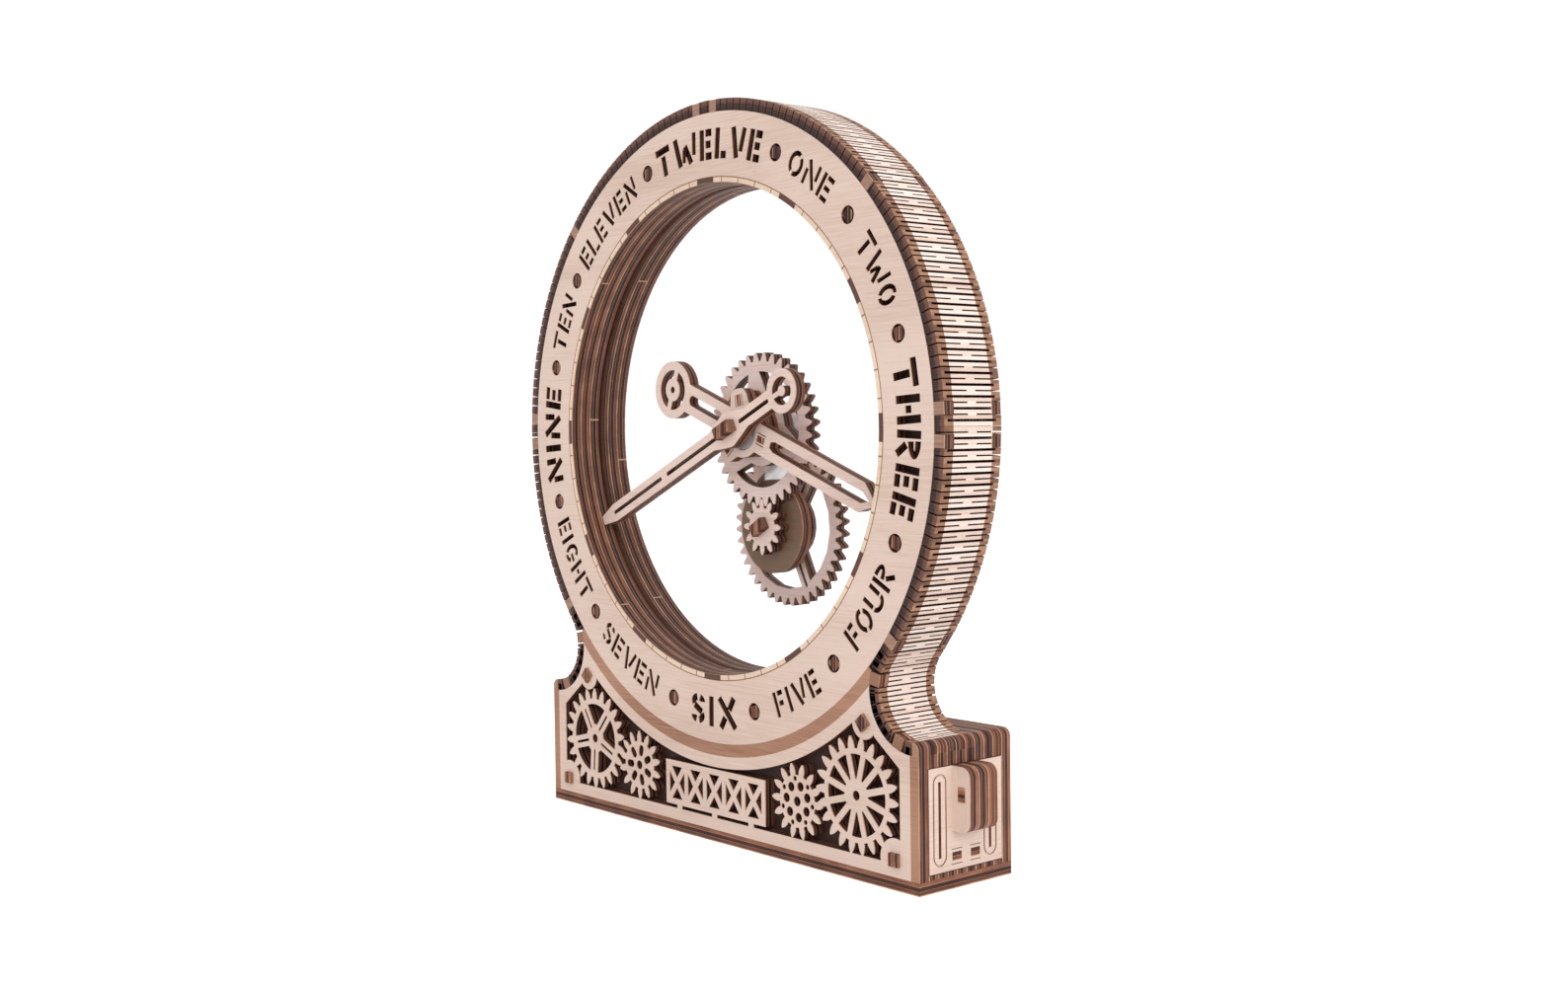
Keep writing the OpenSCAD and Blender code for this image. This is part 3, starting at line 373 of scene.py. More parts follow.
@dataclass(frozen=True)
class CutEdge:
    """Laser-cut edge of plywood: burnt layers, pale glue seams, pale joints between ring pieces and
    a painted highlight along each joint between sheets.

    Attributes:
        across: The direction of the sheet's thickness.
        darker: How much the edge is burnt, from 0 to 1, or below 0 for a pale cut.
        segments: How many pieces each sheet of the ring is joined from, or 0.
        streaks: Waves in a millimetre across the layers and along them.
        clouds: Waves in a millimetre of the broad burnt clouds.
        weights: How much the layer's own tone, the streaks and the clouds count.
        burn: How much darker every edge is, and how much ``darker`` adds.
        seam: Reach of a pale glue seam, as a share of a layer.
        seam_gain: How the streaks break up a seam, as factor and shift.
        seam_key: Shift that makes a seam's chance differ from its layer's.
        joint: Reach of the painted highlight along a joint between sheets, as a share of a sheet.
        highlight_gain: How the clouds break up that painted highlight, as factor and shift.
        end: Reach of a joint between ring pieces, as a share of a piece.
        end_share: How strongly such a joint shows.
        pale: Colour of the seams, of the joints between ring pieces, and of the painted highlight
            along the joints between sheets.
        dark_seam: Middle and reach of each layer's dark line, as shares of a layer.
        dark_share: How strongly the dark line shows.
    """

    across: Across
    darker: float
    segments: int = 0
    streaks: Pair = (4.2, 0.07)
    clouds: float = 0.16
    weights: Triple = (0.5, 0.62, 0.34)
    burn: Pair = (0.24, 0.25)
    seam: float = 0.09
    seam_gain: Pair = (1.2, 0.05)
    seam_key: float = 31.5
    joint: float = 0.085
    highlight_gain: Pair = (1.9, -0.15)
    end: float = 0.0022
    end_share: float = 0.8
    pale: Tone = (206, 166, 134)
    dark_seam: Pair = (0.93, 0.05)
    dark_share: float = 0.45

    def colour(self, sh: Shader, start_mm: float) -> tuple[Socket, Socket]:
        """Colours the cut edge in layers of three to a sheet.

        Args:
            sh: The material being made.
            start_mm: Where the first sheet's outer face lies along the thickness.

        Returns:
            The colour, and the fine streaks for the relief.
        """
        depth = sh.sum("SUBTRACT", sh.along(self.across), start_mm)
        layer = sh.sum("FLOOR", depth)
        share = sh.sum("FRACT", depth)
        streaks = sh.noise(self.across.scale(*self.streaks), 4, 0.62)
        clouds = sh.noise((self.clouds,) * 3, 2)
        own, fine, broad = self.weights
        base = sh.sum("MULTIPLY_ADD", sh.chance(layer), own, sh.sum("MULTIPLY", streaks, fine))
        burnt = sh.sum("SUBTRACT", base, self.burn[0] + self.burn[1] * self.darker)
        colour = sh.ramp(sh.sum("MULTIPLY_ADD", clouds, broad, burnt), CUT_STOPS)
        # Pale glue seams and ring-piece joints, plus the painted highlight along every joint
        # between sheets.
        pale = sh.sum("MAXIMUM", self._seams(sh, layer, share, streaks),
                      self._highlights_and_joints(sh, depth, start_mm, clouds))
        lit = sh.blend(pale, colour, linear(self.pale))
        dark = sh.sum("MULTIPLY", sh.near(share, *self.dark_seam), self.dark_share)
        return sh.blend(dark, lit, linear(BURNT)), streaks

    def _seams(self, sh: Shader, layer: Socket, share: Socket, streaks: Socket) -> Socket:
        """Pale glue seams at about half of the layers.

        Args:
            sh: The material being made.
            layer: Number of the layer.
            share: Place within the layer, from 0 to 1.
            streaks: The fine streaks.

        Returns:
            How much a seam shows, from 0 to 1.
        """
        chosen = sh.sum("GREATER_THAN", sh.chance(sh.sum("ADD", layer, self.seam_key)), 0.5)
        seam = sh.sum("MULTIPLY", sh.near(share, 0.0, self.seam), chosen)
        broken = sh.sum("MULTIPLY_ADD", streaks, *self.seam_gain, clamp=True)
        return sh.sum("MULTIPLY", seam, broken)

    def _highlights_and_joints(self, sh: Shader, depth: Socket, start_mm: float, clouds: Socket) -> Socket:
        """Painted highlights along the joints between the sheets, where their rounded corners catch
        light, and pale joints between the pieces of each ring sheet.

        Args:
            sh: The material being made.
            depth: Place along the thickness, from the first sheet's outer face.
            start_mm: Where that face lies.
            clouds: The broad burnt clouds.

        Returns:
            How much the painted highlight or a joint shows, from 0 to 1.
        """
        sheets = sh.sum("DIVIDE", depth, SHEET_MM)
        # Painted highlight: a pale line at every joint between sheets stands in for light caught on
        # the sheets' rounded corners.
        joint = sh.near(sh.sum("FRACT", sheets), 0.0, self.joint)
        broken = sh.sum("MULTIPLY_ADD", clouds, *self.highlight_gain, clamp=True)
        painted_highlight = sh.sum("MULTIPLY", joint, broken)
        if not self.segments:
            return painted_highlight
        shift = sh.chance(sh.sum("ADD", sh.sum("FLOOR", sheets), start_mm))
        turn = sh.sum("MULTIPLY_ADD", ring_angle(sh), self.segments / math.tau, shift)
        end = sh.near(sh.sum("FRACT", turn), 0.5, self.end)
        return sh.sum("MAXIMUM", painted_highlight, sh.sum("MULTIPLY", end, self.end_share))


@dataclass(frozen=True)
class Veneer:
    """Face of plywood: broad tone, fine grain and short pores.

    Attributes:
        face: Colour of the veneer.
        grain: The direction that the grain runs in.
        figure: How strongly the grain changes the tone.
        rim_mm: Radius from the ring's centre beyond which the veneer is stained, or 0.
        broad: Waves in a millimetre of the broad tone, along the grain and across it.
        fine: The same of the fine grain.
        pores: The same of the pores.
        loss: How much weaker each colour is in the dark grain.
        gain: How much stronger each colour is in the pale grain.
        pore: Each colour's strength in a pore.
        pore_from: Noise above which there is a pore.
        pore_share: How strongly a pore shows.
    """

    face: Tone
    grain: Across
    figure: float
    rim_mm: float
    broad: Pair = (0.012, 0.05)
    fine: Pair = (0.07, 2.4)
    pores: Pair = (0.55, 5.5)
    loss: Triple = (0.1, 0.135, 0.16)
    gain: Triple = (0.035, 0.04, 0.045)
    pore: Triple = (0.62, 0.52, 0.46)
    pore_from: float = 0.7
    pore_share: float = 0.22

    def colour(self, sh: Shader) -> tuple[Socket, Socket]:
        """Colours the face.

        Args:
            sh: The material being made.

        Returns:
            The colour, and the grain for the relief.
        """
        broad = sh.noise(self.grain.scale(*self.broad), 2)
        fine = sh.noise(self.grain.scale(*self.fine), 5, 0.6)
        pores = sh.noise(self.grain.scale(*self.pores), 2, 0.5)
        low = shade(self.face, tuple(1 - loss * self.figure for loss in self.loss))
        high = shade(self.face, tuple(1 + gain * self.figure for gain in self.gain))
        value = sh.sum("MULTIPLY_ADD", broad, 0.5, sh.sum("MULTIPLY", fine, 0.5))
        colour = sh.ramp(value, [(0.3, low), (0.52, self.face), (0.7, high)])
        in_pore = sh.sum("GREATER_THAN", pores, self.pore_from)
        specks = sh.sum("MULTIPLY", in_pore, self.pore_share)
        flecked = sh.blend(specks, colour, linear(shade(self.face, self.pore)))
        if self.rim_mm:
            far = sh.sum("GREATER_THAN", ring_radius(sh), self.rim_mm)
            stain = sh.ramp(value, [(0.35, (126, 90, 74)), (0.65, (188, 150, 130))])
            flecked = sh.blend(far, flecked, stain)
        return flecked, fine


@dataclass(frozen=True)
class Plywood:
    """Plywood sheets: a veneer with fine grain on the faces and layered, burnt cut edges.

    Attributes:
        name: First part of the material's name.
        face: Colour of the veneer.
        across: The direction of the sheet's thickness.
        grain: The direction that the veneer's grain runs in.
        darker: How much the cut edges are burnt, from 0 to 1, or below 0 for a pale cut.
        gloss: Roughness of the surface.
        rim_mm: Radius from the ring's centre beyond which the veneer is stained, or 0.
        segments: How many pieces each sheet of the ring is joined from, or 0.
        figure: How strongly the grain changes the veneer's tone.
        relief: How strongly the grain and the streaks stand out.
    """

    name: str
    face: Tone = PALE
    across: Across = Across.Y
    grain: Across = Across.X
    darker: float = 0.0
    gloss: float = 0.62
    rim_mm: float = 0.0
    segments: int = 0
    figure: float = 1.0
    relief: float = 0.35

    def _both(self, sh: Shader, start_mm: float) -> tuple[Socket, Socket, Socket, Socket]:
        """Edge's colour and streaks, then the face's colour and grain."""
        edge = CutEdge(self.across, self.darker, self.segments).colour(sh, start_mm)
        return *edge, *Veneer(self.face, self.grain, self.figure, self.rim_mm).colour(sh)

    def material(self, start_mm: float) -> bpy.types.Material:
        """Makes the material for sheets that start at a depth, or finds it again.

        Args:
            start_mm: Where the first sheet's outer face lies along the thickness.

        Returns:
            The finished material.
        """
        label = f"{self.name}_{self.across.name}_{start_mm:.1f}"
        if label in bpy.data.materials:
            return bpy.data.materials[label]
        sh = Shader(label)
        edge, streaks, face, grain = self._both(sh, start_mm)
        flat = sh.facing(self.across)
        sh.paint(sh.blend(flat, edge, face))
        relief = sh.sum("MULTIPLY_ADD", flat, sh.sum("SUBTRACT", grain, streaks), streaks)
        sh.bump(relief, self.relief, RELIEF_MM)
        sh.set(Roughness=self.gloss, Specular_IOR_Level=WOOD_SHINE)
        return sh.material

    def engrave(self, sh: Shader, start_mm: float, tint: Socket, cut: Socket, tone: Tone) -> None:
        """Finishes a material whose faces carry thin burnt lines.

        Args:
            sh: The material being made.
            start_mm: Where the first sheet's outer face lies along the thickness.
            tint: How much of the lines' tone shows, from 0 to 1.
            cut: How deep the lines are, from 0 to 1.
            tone: The lines' colour.
        """
        edge, _, face, grain = self._both(sh, start_mm)
        marked = sh.blend(tint, face, linear(tone))
        sh.paint(sh.blend(sh.facing(self.across), edge, marked))
        sh.bump(sh.sum("SUBTRACT", grain, cut), ENGRAVED_RELIEF, RELIEF_MM)
        sh.set(Roughness=self.gloss, Specular_IOR_Level=WOOD_SHINE)

    def dress(self, *names: str) -> None:
        """Gives the finish to CAD nodes, with the layers counted from each one's own face.

        Args:
            *names: The CAD nodes.
        """
        for name in names:
            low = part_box(name)[0][self.across.value] / MM
            coat(name, self.material(round(low, 1)))


@dataclass(frozen=True)
class MinuteScale:
    """Pale inlay with a thin burnt line at every minute and round its outside.

    Attributes:
        wood: The inlay's plywood.
        outer_mm: Radius of the thin line round the outside.
        rim_mm: Half the width of that line.
        tick_mm: Width of a minute's line.
        tick_at_mm: Radius at which it has that width.
        minute: Angle between two lines, in radians.
        tone: Colour of the lines.
    """

    wood: Plywood = Plywood("minute_scale_wood", face=(238, 213, 190), gloss=0.6)
    outer_mm: float = 62.55
    rim_mm: float = 0.15
    tick_mm: float = 0.34
    tick_at_mm: float = 62
    minute: float = math.radians(6)
    tone: Tone = (128, 78, 52)

    def material(self) -> bpy.types.Material:
        """Makes the material.

        Returns:
            The finished material.
        """
        sh = Shader("minute_scale")
        turn = sh.sum("ADD", sh.sum("DIVIDE", ring_angle(sh), self.minute), 0.5)
        gap = sh.sum("ABSOLUTE", sh.sum("SUBTRACT", sh.sum("FRACT", turn), 0.5))
        tick = sh.sum("LESS_THAN", gap, self.tick_mm / 2 / (self.tick_at_mm * self.minute))
        rim = sh.near(ring_radius(sh), self.outer_mm, self.rim_mm)
        line = sh.sum("MULTIPLY", sh.sum("MAXIMUM", tick, rim), ENGRAVED_SHARE)
        self.wood.engrave(sh, FRONT_MM, line, line, self.tone)
        return sh.material


@dataclass(frozen=True)
class MarkedPanel:
    """Pale drawer front with thin burnt lines above and below its floor tongues.

    Attributes:
        wood: The panel's plywood.
        middle_mm: How far a tongue's middle lies from the clock's middle plane.
        reach_mm: Half the length of a line.
        heights_mm: Heights of the lower and upper line.
        line_mm: Half the width of a line.
    """

    wood: Plywood = Plywood("marked_panel_wood", across=Across.X, grain=Across.Y)
    middle_mm: float = 3.0
    reach_mm: float = 1.75
    heights_mm: Pair = (5.5, 8.9)
    line_mm: float = 0.11

    def material(self) -> bpy.types.Material:
        """Makes the material.

        Returns:
            The finished material.
        """
        sh = Shader("marked_panel")
        aside = sh.sum("ABSOLUTE", sh.along(Across.Y))
        rows = [sh.near(sh.along(Across.Z), at, self.line_mm) for at in self.heights_mm]
        in_reach = sh.near(aside, self.middle_mm, self.reach_mm)
        line = sh.sum("MULTIPLY", in_reach, sh.sum("MAXIMUM", *rows))
        tint = sh.sum("MULTIPLY", line, ENGRAVED_SHARE)
        self.wood.engrave(sh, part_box("drawer_panel")[0].x / MM, tint, line, BURNT)
        return sh.material


@dataclass(frozen=True)
class ClearSheet:
    """Clear plastic sheet with a faint grey tone, faint smears and polished faces.

    Attributes:
        name: The material's name.
        tone: Colour of the sheet.
        opacity: How much of the sheet shows.
        bending: How strongly it bends light; a thin flat sheet bends it very little.
        frost: How much of the sheet scatters light from its faces like cut acrylic.
        smear: How much darker each colour is in a smear.
        smear_waves: Waves in a millimetre of the smears.
    """

    name: str
    tone: Tone
    opacity: float
    bending: float = 1.02
    frost: float = 0.0
    smear: Tone = (6, 5, 5)
    smear_waves: float = 0.05

    def material(self) -> bpy.types.Material:
        """Makes the material.

        Returns:
            The finished material.
        """
        sh = Shader(self.name)
        smears = sh.noise((self.smear_waves,) * 3, 3)
        low = tuple(v - loss for v, loss in zip(self.tone, self.smear))
        sh.paint(sh.ramp(smears, [(0.3, low), (0.7, self.tone)]))
        sh.set(Roughness=0.0, IOR=self.bending, Alpha=self.opacity)
        sh.set(Transmission_Weight=1.0 - self.frost)
        return sh.material


@dataclass(frozen=True)
class Metal:
    """Drawn metal with fine marks along the turning.

    Attributes:
        name: The material's name.
        tone: Colour of the metal.
        rough: Mean roughness.
        metallic: 1 for bare metal, 0 for a painted case.
        waves: Waves in a millimetre of the marks.
        mark: Each colour's strength in a mark.
        spread: How much the marks change the roughness.
    """

    name: str
    tone: Tone
    rough: float = 0.3
    metallic: float = 1.0
    waves: Triple = (6, 0.4, 6)
    mark: Triple = (0.88, 0.87, 0.86)
    spread: float = 0.2

    def material(self) -> bpy.types.Material:
        """Makes the material.

        Returns:
            The finished material.
        """
        sh = Shader(self.name)
        marks = sh.noise(self.waves, 3)
        sh.paint(sh.ramp(marks, [(0.35, shade(self.tone, self.mark)), (0.65, self.tone)]))
        rough = sh.sum("MULTIPLY_ADD", marks, self.spread, self.rough - self.spread / 2)
        sh.feed(rough, sh.surface.inputs["Roughness"])
        sh.set(Metallic=self.metallic)
        sh.bump(marks, 0.1, 0.02)
        return sh.material


@dataclass(frozen=True)
class Moulded:
    """Moulded plastic with a fine even texture.

    Attributes:
        name: The material's name.
        tone: Colour of the plastic.
        rough: Roughness.
        cloud_waves: Waves in a millimetre of the faint clouds.
        grain_waves: Waves in a millimetre of the texture.
        cloud: Each colour's strength in a cloud.
    """

    name: str
    tone: Tone
    rough: float = 0.45
    cloud_waves: float = 0.4
    grain_waves: float = 9
    cloud: Triple = (0.94, 0.94, 0.93)

    def material(self) -> bpy.types.Material:
        """Makes the material.

        Returns:
            The finished material.
        """
        sh = Shader(self.name)
        clouds = sh.noise((self.cloud_waves,) * 3, 3)
        sh.paint(sh.ramp(clouds, [(0.3, shade(self.tone, self.cloud)), (0.7, self.tone)]))
        sh.bump(sh.noise((self.grain_waves,) * 3, 2), 0.12, 0.03)
        sh.set(Roughness=self.rough)
        return sh.material


@dataclass(frozen=True)
class BandWood:
    """The bent band's wood: a cream middle between stained margins, and burnt slots.

    Attributes:
        depth_mm: Depth of the band.
        margin_mm: Width of the stained margin at each edge.
        shift_mm: How far the margins lie towards the rear.
        wobble_mm: How far they wander.
        skin_from: Height in the sheet, as a share, from which the skin's colour shows.
        grain_waves: Waves in a millimetre of the grain.
        cream: Tones of the middle.
        stain: Tones of the margins.
        plies: Tones through the sheet, at the band's front and rear edges.
        slot: Tone inside the slots.
    """

    depth_mm: float = 18.0
    margin_mm: float = 2.8
    shift_mm: float = 0.25
    wobble_mm: float = 0.5
    skin_from: float = 0.97
    grain_waves: Triple = (2.6, 0.3, 2.6)
    cream: tuple[Tone, ...] = ((220, 192, 177), (238, 216, 203), (247, 233, 224))
    stain: tuple[Tone, ...] = ((104, 72, 56), (148, 106, 83), (180, 136, 108))
    plies: tuple[tuple[float, Tone], ...] = (
        (0.05, (42, 27, 24)), (0.42, (70, 45, 38)), (0.5, (40, 25, 22)),
        (0.58, (98, 66, 55)), (0.95, (118, 82, 67)),
    )
    slot: Tone = (58, 35, 29)

    def material(self) -> bpy.types.Material:
        """Makes the material.

        Returns:
            The finished material.
        """
        sh = Shader("bent_band")
        within, span, start = (sh.attribute(name) for name in ("layer", "span", "start"))
        layer = sh.sum("MULTIPLY_ADD", within, span, start)
        outside = sh.sum("GREATER_THAN", layer, self.skin_from)
        skin = sh.sum("MULTIPLY", sh.attribute("skin"), outside)
        depth = sh.sum("SUBTRACT", sh.along(Across.Y), FRONT_MM)
        middle = sh.sum("SUBTRACT", depth, self.depth_mm / 2 + self.shift_mm)
        wobble = sh.noise((0.25, 0.25, 0.25), 2)
        offset = sh.sum("ABSOLUTE", sh.sum("MULTIPLY_ADD", wobble, self.wobble_mm, middle))
        outer = sh.sum("GREATER_THAN", offset, self.depth_mm / 2 - self.margin_mm)
        grain = sh.noise(self.grain_waves, 4, 0.6)
        value = sh.sum("MULTIPLY_ADD", sh.attribute("shade"), 0.4, sh.sum("MULTIPLY", grain, 0.6))
        cream, stain = (
            sh.ramp(value, list(zip((0.25, 0.5, 0.75), row))) for row in (self.cream, self.stain)
        )
        uneven = sh.sum("MULTIPLY_ADD", sh.sum("SUBTRACT", value, 0.5), 0.35, layer)
        side = sh.ramp(uneven, list(self.plies))
        cut = sh.blend(sh.facing(Across.Y), linear(self.slot), side)
        sh.paint(sh.blend(skin, cut, sh.blend(outer, cream, stain)))
        sh.bump(grain, 0.3, 0.1)
        sh.set(Roughness=0.6, Specular_IOR_Level=WOOD_SHINE)
        return sh.material


def coat(name: str, material: bpy.types.Material) -> None:
    """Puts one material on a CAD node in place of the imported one.

    Args:
        name: The CAD node.
        material: What it is dressed in.
    """
    slots = bpy.data.objects[name].data.materials
    slots.clear()
    slots.append(material)
    LOG.info("dressed %s in %s", name, material.name)


def placed(name: str, data: bpy.types.ID) -> bpy.types.Object:
    """Puts a mesh, a lamp or a camera in the scene.

    Args:
        name: Name of the new object.
        data: What it shows.

    Returns:
        The object, at the origin.
    """
    made = bpy.data.objects.new(name, data)
    bpy.context.scene.collection.objects.link(made)
    return made


def closed_mesh(name: str, work: bmesh.types.BMesh) -> bpy.types.Mesh:
    """Makes a mesh of a closed shape, with its faces outwards.

    Args:
        name: Name of the mesh.
        work: The shape, which is used up.

    Returns:
        The mesh.
    """
    bmesh.ops.recalc_face_normals(work, faces=work.faces)
    mesh = bpy.data.meshes.new(name)
    work.to_mesh(mesh)
    work.free()
    return mesh


class BandBars(Graph):
    """Geometry Nodes that set one bar of the band on every given place."""

    def __init__(self) -> None:
        """Builds the tree with its named inputs."""
        super().__init__(bpy.data.node_groups.new("BandBars", "GeometryNodeTree"))
        face = self.tree.interface
        face.new_socket("Geometry", in_out="INPUT", socket_type="NodeSocketGeometry")
        inputs = {"Sheet Thickness": "Float", "Seed": "Int", "Finish": "Material"}
        self.thickness, self.seed, self.finish = (
            face.new_socket(name, in_out="INPUT", socket_type=f"NodeSocket{kind}")
            for name, kind in inputs.items()
        )
        face.new_socket("Geometry", in_out="OUTPUT", socket_type="NodeSocketGeometry")
        start, end = self.node("NodeGroupInput"), self.node("NodeGroupOutput")
        height = self.sum("MULTIPLY", start.outputs["Sheet Thickness"], self._read("span"))
        facing = self.node("FunctionNodeEulerToRotation")
        self.feed(self.vector(0.0, self._read("turn")), facing.inputs[0])
        put = self.node("GeometryNodeInstanceOnPoints")
        for source, socket in (
            (start.outputs["Geometry"], "Points"),
            (self._marked_bar(), "Instance"),
            (facing.outputs[0], "Rotation"),
            (self.vector(self._read("width"), self._read("depth"), height), "Scale"),
        ):
            self.feed(source, put.inputs[socket])
        chance = self.node("FunctionNodeRandomValue", data_type="FLOAT")
        self.feed(start.outputs["Seed"], chance.inputs["Seed"])
        shaded = self._store("shade", "INSTANCE", put.outputs[0], chance.outputs["Value"])
        real = self.node("GeometryNodeRealizeInstances")
        self.feed(shaded, real.inputs[0])
        dressed = self.node("GeometryNodeSetMaterial")
        self.feed(real.outputs[0], dressed.inputs["Geometry"])
        self.feed(start.outputs["Finish"], dressed.inputs["Material"])
        self.feed(dressed.outputs[0], end.inputs[0])

    def _read(self, name: str) -> Socket:
        """Reads a number that each place carries.

        Args:
            name: The attribute's name.

        Returns:
            The number's output.
        """
        made = self.node("GeometryNodeInputNamedAttribute", data_type="FLOAT")
        made.inputs["Name"].default_value = name
        return next(o for o in made.outputs if o.name == "Attribute" and o.enabled)

    def _store(self, name: str, domain: str, geometry: Socket, value: Socket) -> Socket:
        """Writes a number on the geometry for the finish to read.

        Args:
            name: The attribute's name.
            domain: What carries it: points, faces or instances.
            geometry: The geometry.
            value: The number.

        Returns:
            The geometry with the number.
        """
        made = self.node("GeometryNodeStoreNamedAttribute", data_type="FLOAT", domain=domain)
        made.inputs["Name"].default_value = name
        self.feed(geometry, made.inputs["Geometry"])
        self.feed(value, next(i for i in made.inputs if i.name == "Value" and i.enabled))
        return made.outputs[0]

    def _marked_bar(self) -> Socket:
        """Makes a unit bar that knows its outer skin and its corners' heights.

        Returns:
            The bar's geometry.
        """
        cube = self.node("GeometryNodeMeshCube")
        cube.inputs["Size"].default_value = (1, 1, 1)
        up = self.part(self.node("GeometryNodeInputNormal").outputs[0], Across.Z)
        top = self.sum("GREATER_THAN", up, 0.5)
        skin = self._store("skin", "FACE", cube.outputs["Mesh"], top)
        height = self.part(self.node("GeometryNodeInputPosition").outputs[0], Across.Z)
        return self._store("layer", "POINT", skin, self.sum("ADD", height, 0.5))

    def grow(
        self, name: str, places: bpy.types.Mesh, thickness: float, seed: int,
        finish: bpy.types.Material,
    ) -> bpy.types.Object:
        """Runs the tree on a set of places and keeps the result as a plain mesh.

        Args:
            name: Name of the finished piece.
            places: One vertex for each bar, with width, depth, turn, start and span.
            thickness: Thickness of the sheet, in metres.
            seed: Seed of the shades.
            finish: The band's material.

        Returns:
            The finished object.
        """
        source = placed(name + "_places", places)
        work = source.modifiers.new("bars", "NODES")
        work.node_group = self.tree
        work[self.thickness.identifier] = thickness
        work[self.seed.identifier] = seed
        work[self.finish.identifier] = finish
        graph = bpy.context.evaluated_depsgraph_get()
        mesh = bpy.data.meshes.new_from_object(source.evaluated_get(graph), depsgraph=graph)
        bpy.data.objects.remove(source)
        mesh.name = name
        return placed(name, mesh)


@dataclass
class BentBand:
    """The band round the ring, built of thin bars with bridges, and the base's corner at its end.

    Attributes:
        outer_mm: Radius of the band's outside.
        depth_mm: Depth of the band.
        kerf_mm: Width of a short slot.
        long_kerf_mm: Width of a long slot, which the bend opens more.
        long_slot_mm: Depths at which a long slot starts and ends.
        short_slots_mm: Depths between which the two short slots are bridged.
        clear_mm: Clearance between a tab and the bars beside it.
        joint_gap: Half the gap where two pieces of the band meet, in degrees.
        counts: Bars of the upper piece, of the lower piece on the ring, and of the small bend.
        bend_at: Clockwise angle where the band leaves the ring, in degrees.
        bend_mm: Radius of the small bend.
        bend_centre_mm: Centre of the small bend, across and up.
        end_mm: Where the base's side lies.
        corner_mm: Rounding of the base's top corner.
        corner_steps: Faces of that rounding.
        corner_wood: Finish of the corner.
        tabs: Clockwise angles of the sheet tabs that reach through the band.
        tab_mm: Width of a tab.
        tab_wood: Finish of the tabs in the small bend.
        plies: Layers of the sheet, which fan out in the small bend.
        floor_share: How much of the sheet closes a slot of the small bend at its inside.
        bend_tabs: Turns in the small bend where a burnt tab of the front sheet reaches through.
        laps_mm: How much wider than its slot a bridge is on the ring, a bridge in the small
            bend, and the closing at a slot's inside there.
        least_mm: Width below which a bar is left out.
        seeds: Seeds of the shades for the tabs and the pieces.
    """

    outer_mm: float = 81.5
    depth_mm: float = 18.0
    kerf_mm: float = 0.34
    long_kerf_mm: float = 0.6
    long_slot_mm: Pair = (1.0, 16.3)
    short_slots_mm: Pair = (7.4, 10.1)
    clear_mm: float = 0.05
    joint_gap: float = 0.03
    counts: tuple[int, int, int] = (99, 44, 21)
    bend_at: float = 129.9
    bend_mm: float = 10.5
    bend_centre_mm: Pair = (70.6, 44.5)
    end_mm: float = 72.5
    corner_mm: float = 3.0
    corner_steps: int = 10
    corner_wood: Plywood = Plywood("corner_ply", face=STAINED, darker=0.45)
    tabs: tuple[float, ...] = (2.5, 46.7, 87.2, 92.3, 126.7)
    tab_mm: float = 2.9
    tab_wood: Plywood = Plywood("tab_ply", face=(150, 112, 90), darker=-0.2)
    plies: int = 3
    floor_share: float = 0.6
    bend_tabs: tuple[float, ...] = (101.0, 22.0)
    laps_mm: Triple = (0.06, 0.12, 0.9)
    least_mm: float = 0.02
    seeds: tuple[int, int] = (3, 7)
    _bars: list[tuple[float, ...]] = field(default_factory=list)

    def _on_ring(self, angle: float) -> Place:
        """Place on the band's outside and its turn, at a clockwise angle."""
        a = math.radians(angle)
        return self.outer_mm * math.sin(a), RING_CENTRE_MM + self.outer_mm * math.cos(a), a

    def _on_bend(self, angle: float) -> Place:
        """Place on the small bend's outside, by the turn that its skin faces in."""
        a, (x, z) = math.radians(angle), self.bend_centre_mm
        return x - self.bend_mm * math.sin(a), z - self.bend_mm * math.cos(a), a

    def _bar(
        self, place: Place, width: float, low: float, high: float,
        start: float = 0.0, span: float = 1.0,
    ) -> None:
        """Notes one box.

        Args:
            place: Across and up on the band's outside, and the turn.
            width: Width along the band.
            low: Depth of its front end from the front edge.
            high: Depth of its rear end.
            start: Where it starts above the inside, as a share of the sheet.
            span: How much of the sheet it takes.
        """
        if width > self.least_mm and high > low:
            self._bars.append((*place, width, low, high, start, span))

    def _kerf(self, index: int) -> float:
        """Width of the slot before a bar: every second one is long."""
        return self.kerf_mm if index % 2 else self.long_kerf_mm

    def _bridges(self, index: int) -> list[Pair]:
        """Depths at which a slot is bridged.

        Args:
            index: Number of the slot.

        Returns:
            Front and rear end of each bridge: both ends of a long slot, the middle of short ones.
        """
        if index % 2:
            return [self.short_slots_mm]
        return [(0.0, self.long_slot_mm[0]), (self.long_slot_mm[1], self.depth_mm)]

    def _in_tab(self, angle: float, reach: float) -> bool:
        """Whether a tab of the front and rear sheets takes this place."""
        return any(abs(angle - t) < reach for t in self.tabs)

    def _bend_front(self, turn: float, step: float) -> float:
        """Depth at which a bar of the small bend starts.

        Args:
            turn: The bar's turn, in degrees.
            step: Turn from one bar to the next.

        Returns:
            0, or the depth behind the tab of the front sheet that is there.
        """
        reach = math.degrees(self.tab_mm / 2 / self.bend_mm) + step / 2
        taken = any(abs(turn - t) < reach for t in self.bend_tabs)
        return SHEET_MM + self.clear_mm if taken else 0.0

